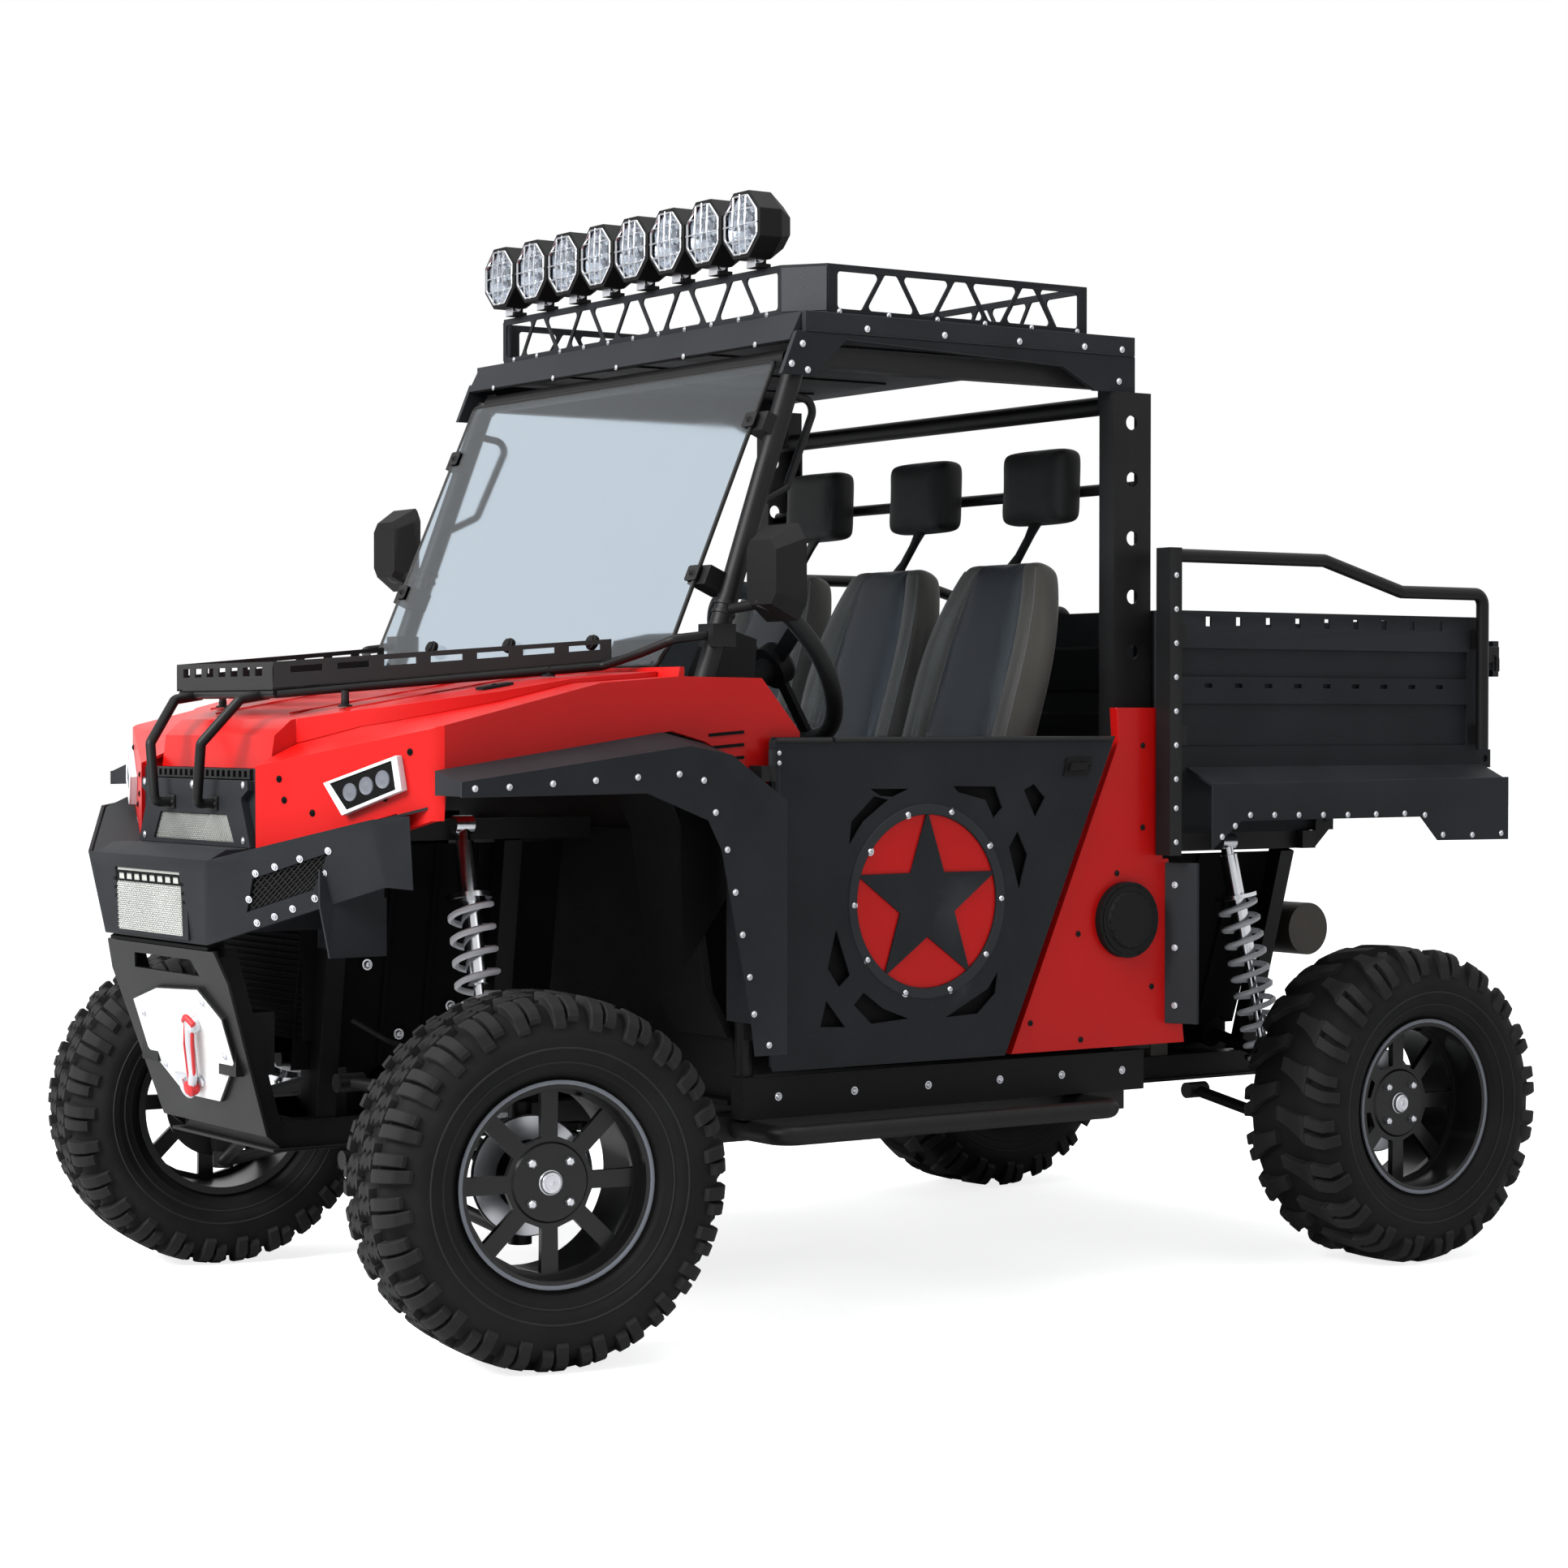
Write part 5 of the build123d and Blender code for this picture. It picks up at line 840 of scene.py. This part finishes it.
def make_roof_trim():
    """Bolts, seams, the ribs under the roof and the rack's corner plates."""
    bolts = Piece()
    bolts.bolts(649.2, (
        (-430, 1860), (-404, 1900), (-392, 1850), (-250, 1938), (-60, 1938), (130, 1938), (300, 1938),
        (400, 1938), (392, 1872)), 5, 3.4)
    bolts.mirror()
    for x in range(-520, 521, 260):
        bolts.bolt((x, -427.6, 1908.2), (0, -1, 0), 4.2, 3)
    bolts.piece("roof_bolts", "silver")
    rack = Piece()
    rack.bolts(625.2, [(y, 1971.5) for y in range(-300, 301, 120)], 4, 3)
    rack.mirror()
    for x in range(-500, 501, 100):
        rack.bolt((x, -386.2, 1971.5), (0, -1, 0), 4, 3)
    rack.piece("roof_rack_bolts", "silver")
    seam = Piece()
    seam.tube([(649.4, -392, 1926), (649.4, 433, 1926)], 1.4, sides=6)
    seam.tube([(649.4, -300, 1914), (649.4, 244, 1895), (649.4, 330, 1852)], 1.6, 20, 6)
    seam.mirror()
    seam.piece("roof_seams", "frame")
    liner = Piece()
    for x in (140, 420):
        liner.block((x - 60, -330, 1921), (x + 60, 330, 1924.6))
    liner.mirror()
    liner.piece("roof_underside_ribs", "plastic", edge=1.5)
    panel = Piece()
    normal = Vector((59, -78, 0)).normalized()
    panel.prism([Vector(point) + normal * 0.3 for point in (
        (549.5, -384.4, 1972), (624.0, -328.6, 1972), (624.0, -328.6, 2058), (549.5, -384.4, 2058))],
        normal * 1.2)
    panel.mirror()
    panel.piece("rack_corner_plates", "plate_pale", edge=0.6)


SCREEN_FOOT = Vector((0, -668, 1322))
SCREEN_RUN = Vector((0, 240, 546)).normalized()
SCREEN_BACK = Vector((0, 546, -240)).normalized()


def make_screen_trim():
    """Clamps, knobs and the seal round the windscreen."""
    clamps = Piece()
    for z in (1450, 1750):
        middle = Vector((590, -668 + (z - 1322) * 240 / 546, z))
        for shift, way in ((-7.2, -1), (0.5, 1)):
            clamps.loft([
                [middle + SCREEN_BACK * (shift + way * thick) + Vector((w * 20, 0, 0)) + SCREEN_RUN * h * 16
                 for w, h in (
                     (-1, -0.8), (-0.8, -1), (0.8, -1), (1, -0.8), (1, 0.8), (0.8, 1), (-0.8, 1), (-1, 0.8))]
                for thick in (0, 3)])
        clamps.bolt(middle - SCREEN_BACK * 9.8, -SCREEN_BACK, 6, 6)
    clamps.mirror()
    clamps.piece("screen_clamps", "frame", edge=0.6)
    knobs = Piece()
    for x in (-330, 0, 330):
        knobs.turned(Vector((x, -672, 1318)) - SCREEN_BACK * 9, -SCREEN_BACK, [
            (0, 15), (3, 16), (10, 16), (12, 13), (16, 12), (18, 4)], steps=16)
        knobs.block((x - 12, -694, 1262), (x + 12, -690, 1290))
    knobs.piece("screen_knobs", "plastic", edge=0.5)
    seal = Piece()
    seal.tube([SCREEN_FOOT + Vector((x, 0, 0)) + SCREEN_RUN * reach - SCREEN_BACK * 3 for x, reach in (
        (-574, -53.6), (574, -53.6), (599, 0), (595, 595), (-595, 595), (-599, 0))],
        4.6, 16, sides=8, closed=True)
    seal.piece("screen_edge", "frame")


def make_mirrors():
    """Glass, rim, ball joint and pillar clamp of each mirror; the passenger's stands higher."""
    outline = ((-75, -72), (-55, -92), (50, -92), (75, -60), (75, 62), (48, 92), (-58, 92), (-75, 66))
    for side, name in SIDES:
        z = 1450 if side == 1 else 1555
        glass = Piece(side)
        glass.plate(1, -524.9, [(760 + x * 0.86, z + y * 0.88) for x, y in outline], 1.6)
        glass.piece("mirror_glass_" + name, "mirror", slot="glass")
        rim = Piece(side)
        rim.tube([(760 + x * 0.95, -524, z + y * 0.96) for x, y in outline], 3.4, 12, sides=8, closed=True)
        rim.piece("mirror_rim_" + name, "plastic")
        joint = Piece(side)
        joint.turned((742, -552, z - 56), (0.2, 0.4, 0.9), [
            (-18, 8), (-15, 17), (0, 20), (15, 17), (18, 8)], steps=20)
        joint.bolt((742, -572, z - 56), (0, -1, 0), 5, 4)
        joint.piece("mirror_joint_" + name, "frame", edge=0.5)
        clamp = Piece(side)
        share = (z - 66 - 1180) / 696
        foot = Vector((640 - 28 * share, -648 + 256 * share, z - 66))
        axis = Vector((-28, 256, 696)).normalized()
        for shift in (-13, 5):
            clamp.turned(foot + axis * shift, axis, [(0, 23.4), (8, 23.4)], steps=28)
        clamp.piece("mirror_clamp_" + name, "frame", edge=0.8)


def slotted_wall(made, start, end, tall, slots, low, high, depth):
    """A wall between two foot points, pierced by a row of slots given as shares of its length."""
    start, end = Vector(start), Vector(end)

    def patch(first, last, foot, top):
        corners = []
        for share, height in oblong(first, last, foot, top):
            rise = tall[0] + (tall[1] - tall[0]) * share
            corners.append(start + (end - start) * share + Vector((0, 0, rise * height)))
        made.prism(corners, depth)

    patch(0, 1, 0, low)
    patch(0, 1, high, 1)
    edges = [0.0] + [edge for slot in slots for edge in slot] + [1.0]
    for first, last in zip(edges[::2], edges[1::2]):
        patch(first, last, low, high)


def make_hood_rack():
    """The slotted tray over the hood, and its tube frame with two bent legs."""
    def holes(start, end, pitch):
        return [(start + pitch * k, end + pitch * k) for k in range(7)]

    tray = Piece()
    front, back = (219, -1322, 1229), (471, -728, 1285)
    slotted_wall(tray, (-219, -1322, 1229), front, (53, 53), holes(0.07, 0.14, 0.125), 0.5, 0.82, (0, 3, 0))
    for side in (1, -1):
        tray.side = side
        slotted_wall(tray, front, back, (53, 43), holes(0.05, 0.145, 0.137), 0.56, 0.8, (-3, 0, 0))
        slotted_wall(tray, (219, -1322, 1229.1), (471, -728, 1285.1), (3, 3), (), 0.4, 0.6, (-26, 0, 0))
    tray.side = 1
    for share in (0.0, 0.16, 0.32, 0.48, 0.64, 0.8, 0.955):
        y = -1319 + 588 * share
        z = 1229 + 56 * share
        half = 219 + 252 * share - 2
        tray.prism([(-half, y, z), (half, y, z), (half + 10, y + 26, z + 2.5), (-half - 10, y + 26, z + 2.5)],
                   (0, 0, 3))
    tray.piece("hood_tray", "frame", edge=0.7, slot="frame_black")
    tubes = Piece()
    tubes.tube([
        (98, -1388.3, 1012), (98, -1424, 1012), (117, -1424, 1127), (150, -1357, 1212), (152, -1300, 1221)],
        10, 14, sides=14)
    tubes.tube([
        (214, -1312, 1222), (462, -742, 1276), (560, -716, 1300), (634, -690, 1325), (634, -619.3, 1333)],
        9, 22, sides=14)
    tubes.tube([(272, -1198, 1228), (272, -1198, 1197)], 7.6)
    tubes.turned((272, -1198, 1196.9), (0, 0, 1), [(0, 14), (3, 14), (5, 8), (12, 8)])
    tubes.tube([(420, -840, 1274), (420, -840, 1255.2)], 7.6)
    tubes.turned((420, -840, 1255.4), (0, 0, 1), [(0, 14), (3, 14), (5, 8)])
    tubes.mirror()
    tubes.tube([(-214, -1312, 1222), (214, -1312, 1222)], 9, sides=14)
    thing = tubes.piece("hood_rack_tubes", "frame", slot="frame_black")
    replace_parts(thing, "hood_rack")


def make_bumper_backs():
    """What shows dark behind the bumper and in the arches: plates, splash panels, radiator and pipes."""
    backs = Piece()
    backs.prism([(338, -1434, 893), (532, -1340, 945), (482, -1351, 850), (314, -1433, 806)], (-2, 3, 0))
    backs.mirror()
    backs.block((-228, -1436, 728), (228, -1428, 800))
    backs.prism([(-226, -1462, 741), (226, -1462, 741), (226, -1428, 757), (-226, -1428, 757)], (0, 0, 6))
    backs.piece("bumper_backs", "dark")
    wires = Piece()
    for side in (1, -1):
        wires.side = side
        woven(wires, [(333, -1425.5, 817), (470, -1358.5, 862), (514, -1350.5, 931), (358, -1426.5, 880)],
              15, 1.2, 0.0)
    wires.piece("bumper_wing_mesh", "frame")
    panels = Piece()
    for first, last, low, high, foot, top in (
            (-1262, -700, 500, 932, 166, 238), (486, 1160, 470, 872, 150, 290)):
        ribs = [first + (last - first) * step / 6 for step in range(1, 6)]
        for start, end, thick in [(first, last, -3)] + [(y - 5, y + 5, 6) for y in ribs]:
            panels.prism([(foot, start, low), (foot, end, low), (top, end, high), (top, start, high)],
                         (thick, 0, 0))
    panels.mirror()
    panels.piece("inner_splash_panels", "dark", edge=0.8)
    radiator = Piece()
    radiator.block((-205, -1256, 560), (205, -1222, 900))
    for row in range(26):
        radiator.block((-200, -1260, 570 + row * 12.6), (200, -1256, 575 + row * 12.6))
    radiator.piece("radiator", "dark", edge=1.0)
    pipes = Piece()
    pipes.tube([(170, -1218, 860), (175, -1160, 850), (120, -1000, 700), (60, -820, 560), (60, -640, 470)],
               15, 60, sides=14)
    pipes.tube([(262, -1180, 600), (290, -1120, 560), (300, -1000, 520), (262, -905, 540)], 5, 40, sides=8)
    pipes.mirror()
    pipes.piece("coolant_pipes", "plastic")
    clips = Piece()
    for y, z in ((-1180, 612), (-1040, 560), (-930, 610), (-1120, 700), (-860, 640)):
        clips.bolt((175 + (z - 500) * 0.166, y, z), (1, 0, 0.1), 8, 7)
    clips.mirror()
    clips.piece("splash_panel_bolts", "silver")


def make_door_trim():
    """Bolts, top rail, latch, hinge screws, the ring round the star and the dark lining of each door."""
    for side, name in SIDES:
        body = "door_" + name
        bolts = Piece(side)
        bolts.bolts(DOOR_FACE_X + 0.1, (
            (-195, 986), (-88, 989), (7, 920), (37, 815), (-2, 705), (-92, 639), (-201, 637), (-293, 705),
            (-325, 812), (-286, 916)), 6.4, 4.5)
        bolts.piece("door_bolts_" + name, "silver", body)
        trim = Piece(side)
        trim.tube([(711.5, -372, 1134), (711.5, 322, 1134)], 5.2, sides=10)
        trim.tube([(707.5, -506, 1133), (711.5, -380, 1133)], 5, sides=10)
        trim.piece("door_top_rail_" + name, "frame", body)
        latch = Piece(side)
        latch.plate(0, DOOR_FACE_X, ((196, 1058), (262, 1062), (270, 1096), (204, 1094)), 4)
        latch.plate(0, DOOR_FACE_X + 4, ((206, 1068), (252, 1071), (256, 1086), (210, 1084)), 7)
        latch.bolts(DOOR_FACE_X + 4, ((262, 1080),), 4, 3)
        latch.piece("door_latch_" + name, "plastic", body, edge=1.0)
        hinge = Piece(side)
        hinge.bolts(721.2, ((-508, 595), (-508, 614), (-508, 1090), (-508, 1109)), 3.4, 2.6)
        hinge.piece("door_hinge_bolts_" + name, "silver", body)
        ring = Piece(side)
        middle = Vector((DOOR_FACE_X + 0.3, -146, 815))
        ring.loft([
            [middle + Vector((lift, radius * math.sin(turn), radius * math.cos(turn)))
             for radius, lift in ((172, 0), (192, 0), (191, 1.6), (173, 1.6))]
            for turn in turns(64)], looped=True)
        ring.piece("door_ring_" + name, "plate", body)
        net = Piece(side)
        net.plate(0, 694.3, ((-500, 512), (36, 512), (306, 1128), (-500, 1128)), 0.8)
        net.piece("door_lining_" + name, "dark", body)


FUEL_CAP_Y = 367.0
FUEL_CAP_Z = 761.0


def make_side_trim():
    """The fuel cap's grip, screws, sill and mudguard bolts, step treads and cowl linings."""
    def on_cap(radius, turn, x):
        return (x, FUEL_CAP_Y + radius * math.cos(turn), FUEL_CAP_Z + radius * math.sin(turn))

    cap = Piece()
    cap.turned(on_cap(0, 0, 716.2), (1, 0, 0), [
        (0, 70), (2.5, 70), (3, 60), (9, 56), (11, 46), (9, 20)], steps=40)
    for turn in turns(18):
        cap.turned(on_cap(53, turn, 717), (1, 0, 0), [(0, 6), (9, 5), (10, 2)], steps=8)
    cap.piece("fuel_cap_grip", "plastic", edge=0.6)
    screws = Piece()
    screws.bolts(700.2, (
        (415, 1119), (415, 950), (346, 857), (244, 736), (251, 520), (440, 620), (120, 560)), 4.6, 3)
    screws.mirror()
    for turn in turns(8, 0.5):
        screws.bolt(on_cap(73, turn, 716.3), (1, 0, 0), 3.2, 2.4)
    screws.piece("panel_screws", "plastic")
    sill = Piece()
    sill.bolts(677.2, [(y, 448) for y in (-480, -300, -120, 60, 220, 380)], 6, 4)
    sill.mirror()
    sill.piece("sill_bolts", "silver")
    guard = Piece()
    for z in (580, 700, 830):
        guard.bolt((722, 484.5, z), (0.47, -0.88, 0), 5, 3)
    guard.mirror()
    guard.piece("mudguard_bolts", "silver")
    tread = Piece()
    for y in range(-470, 147, 56):
        tread.plate(2, 390.1, ((702, y), (752, y + 20), (752, y + 27), (702, y + 7)), 3)
    tread.mirror()
    tread.piece("step_treads", "frame", edge=0.6)
    lining = Piece()
    lining.plate(0, 668, ((-690, 700), (-470, 1000), (-560, 1140), (-700, 1150)), -2)
    lining.mirror()
    lining.piece("cowl_linings", "dark")


def pressing(made, y, low, high, rise):
    """A shallow raised field with sloping sides on a panel across the bed."""
    made.loft([
        [(x, y + rise * lift, z) for x, z in oblong(-600 + draw, 600 - draw, low + draw, high - draw)]
        for lift, draw in ((0.2, 0), (5, 7))])


def make_bed_trim():
    """Bolts, latches, floor ribs and pressings of the bed and its tailgate."""
    bolts = Piece()
    bolts.bolts(BED_TRIM_X, (
        (638, 974), (706, 973), (775, 972), (845, 971), (916, 970), (999, 970), (1084, 970), (1145, 966),
        (1200, 922), (1290, 920), (1380, 922), (560, 930), (596, 952)), 4.8, 3.2)
    bolts.bolts(750.1, [(462, z) for z in (920, 990, 1050, 1120, 1190, 1260, 1330, 1400, 1470)], 4.4, 3)
    bolts.mirror()
    bolts.piece("bed_bolts", "silver", "bed")
    latch = Piece()
    latch.block((652, 1420, 1300), (690, 1470, 1336))
    latch.tube([(676, 1440, 1318), (690, 1462, 1318), (690, 1462, 1280)], 6, 12)
    latch.mirror()
    latch.piece("tailgate_latches", "frame", "tailgate", edge=1.5)
    ribs = Piece()
    for x in range(-600, 601, 150):
        ribs.plate(1, 506, ((x - 20, 1062.2), (x + 20, 1062.2), (x + 13, 1067), (x - 13, 1067)), 880)
    ribs.piece("bed_floor_ribs", "plate", "bed", edge=1.0)
    gate = Piece()
    for low, high in ((1110, 1180), (1210, 1280), (1310, 1370)):
        pressing(gate, 1430, low, high, 1)
    gate.piece("tailgate_pressings", "plate", "tailgate", edge=1.2)
    front = Piece()
    for low, high in ((1110, 1190), (1230, 1330)):
        pressing(front, 482, low, high, -1)
    front.piece("headboard_pressings", "plate", "bed", edge=1.2)


def make_steering_trim():
    """A padded grip over the wheel's rim and a pad over its hub."""
    hub = Vector((370, -280, 1284))
    column = (hub - Vector((370, -560, 1120))).normalized()
    side = Vector((1, 0, 0))
    other = column.cross(side)
    grip = Piece()
    grip.tube([hub + (side * math.cos(turn) + other * math.sin(turn)) * 172 for turn in turns(64)],
              18, sides=16, closed=True)
    grip.piece("steering_grip", "headrest", body="steering_wheel", slot="vinyl")
    pad = Piece()
    pad.turned(hub + column * 12.2, column, [(0, 45), (5, 44), (9, 36), (10.5, 20), (11, 0)], steps=40)
    pad.piece("steering_pad", "vinyl", body="steering_wheel", slot="vinyl")


SEAT_PITCH = 410.0
SEAM = 0.6
HALF_ACROSS = (0.1, 0.21, 0.32, 0.43, 0.52, 0.58, 0.6, 0.62, 0.67, 0.74, 0.82, 0.89, 0.95, 1)
ACROSS = (*(-step for step in reversed(HALF_ACROSS)), 0, *HALF_ACROSS)
BACK_FOOT = Vector((0, 80.0, 900.3))
BACK_TOP = Vector((0, 272.0, 1512.0))
HEADREST_Y = 379.0
HEADREST_Z = 1665.0


def steps_of(count, edge):
    """Even steps from -1 to 1 with a closer one inside each end."""
    return [-1.0, edge * 2 - 1] + [2 * step / count - 1 for step in range(1, count)] + [1 - edge * 2, 1.0]


def on_round_box(unit, half, bend):
    """A point of a unit box's surface, on a box with those half sizes and rounded edges."""
    spot = Vector(unit[axis] * half[axis] for axis in range(3))
    core = Vector(max(bend - half[axis], min(half[axis] - bend, spot[axis])) for axis in range(3))
    away = spot - core
    return core + away.normalized() * bend if away.length > 0.001 else spot


class Pad:
    """A closed grid of quads round a stuffed form, with the points that its thread and backing board hold."""

    def __init__(self, steps, place, is_held):
        self.mesh = bmesh.new()
        self.held = []
        self.spots = {}
        self.steps = steps
        self.place = place
        self.is_held = is_held
        last = [len(axis) - 1 for axis in steps]
        for axis in range(3):
            first, second = [other for other in range(3) if other != axis]
            for end in (0, last[axis]):
                for i in range(last[first]):
                    for j in range(last[second]):
                        corners = []
                        for di, dj in ((0, 0), (1, 0), (1, 1), (0, 1)):
                            key = [0, 0, 0]
                            key[axis], key[first], key[second] = end, i + di, j + dj
                            corners.append(self.spot(tuple(key)))
                        face = self.mesh.faces.new(corners)
                        on_face = axis == 2 and end and abs(steps[0][i] + steps[0][i + 1]) / 2 <= SEAM
                        face.material_index = 0 if on_face else 1
        bmesh.ops.recalc_face_normals(self.mesh, faces=self.mesh.faces)

    def spot(self, key):
        """The grid's point for three step numbers, made when it is first asked for."""
        if key not in self.spots:
            unit = tuple(self.steps[axis][key[axis]] for axis in range(3))
            self.spots[key] = self.mesh.verts.new(Vector(self.place(unit)) * MM)
            if self.is_held(unit):
                self.held.append(len(self.spots) - 1)
        return self.spots[key]

    def stuffed(self, name, node_name, finishes, cap):
        """Blows the form up with its seams held, and returns its points in millimetres by step numbers."""
        data = bpy.data.meshes.new(name)
        self.mesh.verts.index_update()
        order = {key: vert.index for key, vert in self.spots.items()}
        self.mesh.to_mesh(data)
        self.mesh.free()
        thing = bpy.data.objects.new(name, data)
        bpy.context.scene.collection.objects.link(thing)
        blow_up(thing, self.held, cap)
        for finish in finishes:
            data.materials.append(FINISH[finish])
        for face in data.polygons:
            face.use_smooth = True
        points = {key: data.vertices[index].co / MM for key, index in order.items()}
        rounder = thing.modifiers.new("rounder", "SUBSURF")
        rounder.levels = 1
        rounder.render_levels = 1
        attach(thing, "chassis")
        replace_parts(thing, node_name)
        return points


def blow_up(thing, held, cap, pressure=4.0, frames=20):
    """Cloth under pressure with the held points pinned, kept within the cap and applied to the mesh."""
    start = [vert.co.copy() for vert in thing.data.vertices]
    thing.vertex_groups.new(name="held").add(held, 1.0, "REPLACE")
    cloth = thing.modifiers.new("stuffing", "CLOTH")
    cloth.settings.use_pressure = True
    cloth.settings.uniform_pressure_force = pressure
    cloth.settings.effector_weights.gravity = 0
    cloth.settings.vertex_group_mass = "held"
    cloth.point_cache.frame_start = 1
    cloth.point_cache.frame_end = frames
    scene = bpy.context.scene
    for step in range(frames):
        scene.frame_set(step + 1)
    seen = thing.evaluated_get(bpy.context.evaluated_depsgraph_get())
    blown = [vert.co.copy() for vert in seen.data.vertices]
    thing.modifiers.remove(cloth)
    scene.frame_set(1)
    for vert, before, after in zip(thing.data.vertices, start, blown):
        move = after - before
        if move.length > 1e-7:
            vert.co = before + move.normalized() * cap * MM * math.tanh(move.length / (cap * MM))
    thing.vertex_groups.clear()


def bolster_rise(unit, height):
    """How far the face stands proud beside its seams, and sinks in them."""
    if unit[2] <= 0.9:
        return 0.0
    side = abs(unit[0])
    groove = 6 if abs(side - SEAM) < 0.005 else 0
    return height * max(0.0, min(1.0, (side - SEAM) / 0.14)) - groove


def back_point(x, unit):
    """A seat back: wide bolsters that stand proud, round shoulders, and a backing that follows the frame."""
    lean = BACK_TOP - BACK_FOOT
    tall = lean.length
    up = lean.normalized()
    ahead = Vector((0, -up.z, up.y))
    spot = on_round_box(unit, (190, tall / 2 - 6, 34), 27)
    high = spot.y + tall / 2
    shoulder = max(0.0, high / tall - 0.52) / 0.48
    lumbar = 5 * math.exp(-((high / tall - 0.3) / 0.2) ** 2) if unit[2] > 0.9 and abs(unit[0]) < SEAM else 0.0
    out = spot.z - 36 + bolster_rise(unit, 17 * (1 - shoulder ** 2)) + lumbar
    width = 1 - 0.40 * shoulder ** 2.4
    return BACK_FOOT + up * (high + 3) + ahead * out + Vector((x + spot.x * width, 0, 0))


def cushion_point(x, unit):
    """A seat cushion: a raised front edge, side bolsters and a flat base on the bench."""
    spot = on_round_box(unit, (190, 172, 45), 30)
    y = 125 + spot.y
    lift = 9 * max(0.0, min(1.0, (60 - y) / 90)) if unit[2] > 0 else 0.0
    z = max(spot.z + 834.5 + lift + bolster_rise(unit, 6), 791.0)
    flat_base = unit[2] < -0.9 and abs(unit[0]) < 0.9 and abs(unit[1]) < 0.9
    return Vector((x + spot.x, y, 791.0 if flat_base else z))


def headrest_point(x, unit):
    """A headrest: a soft block that leans back a little with the seat."""
    spot = on_round_box(unit, (105, 79, 34), 25)
    return Vector((x + spot.x, HEADREST_Y - spot.z + spot.y * 0.03, HEADREST_Z + spot.y))


def on_board(unit):
    return unit[2] < -0.95


def sewn(unit):
    """Held points: the seams of the face and the whole backing."""
    return on_board(unit) or (unit[2] > 0.9 and abs(abs(unit[0]) - SEAM) < 0.005)


def make_seats():
    """Three bucket-shaped places with sewn bolsters and piping, and their headrests on flared necks."""
    piping = Piece()
    necks = Piece()
    rows = steps_of(34, 0.012)
    layers = steps_of(6, 0.05)
    for index, place in ((-1, "right"), (0, "middle"), (1, "left")):
        x = index * SEAT_PITCH
        pad = Pad((ACROSS, rows, layers), lambda unit, x=x: back_point(x, unit), sewn)
        points = pad.stuffed("seat_back_" + place, "seat_backs", ("vinyl", "bolster"), 8)
        for column in (-SEAM, SEAM, -0.95, 0.95):
            line = [points[ACROSS.index(column), row, len(layers) - 1] for row in range(2, len(rows) - 2)]
            piping.tube(line, 2.2, sides=6)
        pad = Pad((ACROSS, steps_of(22, 0.02), layers), lambda unit, x=x: cushion_point(x, unit), sewn)
        pad.stuffed("seat_cushion_" + place, "seat_cushions", ("vinyl", "bolster"), 7)
        steps = (steps_of(14, 0.03), steps_of(10, 0.04), steps_of(5, 0.06))
        pad = Pad(steps, lambda unit, x=x: headrest_point(x, unit), on_board)
        pad.stuffed("headrest_" + place, "headrests", ("headrest", "headrest"), 4)
        necks.loft([
            [(x + wide * math.cos(turn), y + thick * math.sin(turn), z + thick * 0.5 * math.sin(turn))
             for turn in turns(20)]
            for y, z, wide, thick in (
                (297, 1486, 26, 10), (306, 1502, 21, 9), (324, 1524, 16, 8), (349, 1562, 16, 8),
                (362, 1583, 20, 9), (370, 1600, 27, 10))])
    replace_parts(piping.piece("seat_piping", "piping", slot="vinyl"), "seat_backs")
    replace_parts(necks.piece("headrest_necks", "frame", slot="frame_black"), "headrests")


set_up_camera()
set_up_light()
set_up_floor()
dress_nodes()
make_tyres()
make_wheel_trim()
make_headlamps()
make_grille()
make_bumper()
make_winch()
make_nose_trim()
make_roof_lamps()
make_roof_trim()
make_screen_trim()
make_mirrors()
make_hood_rack()
make_bumper_backs()
make_door_trim()
make_side_trim()
make_bed_trim()
make_seats()
make_steering_trim()
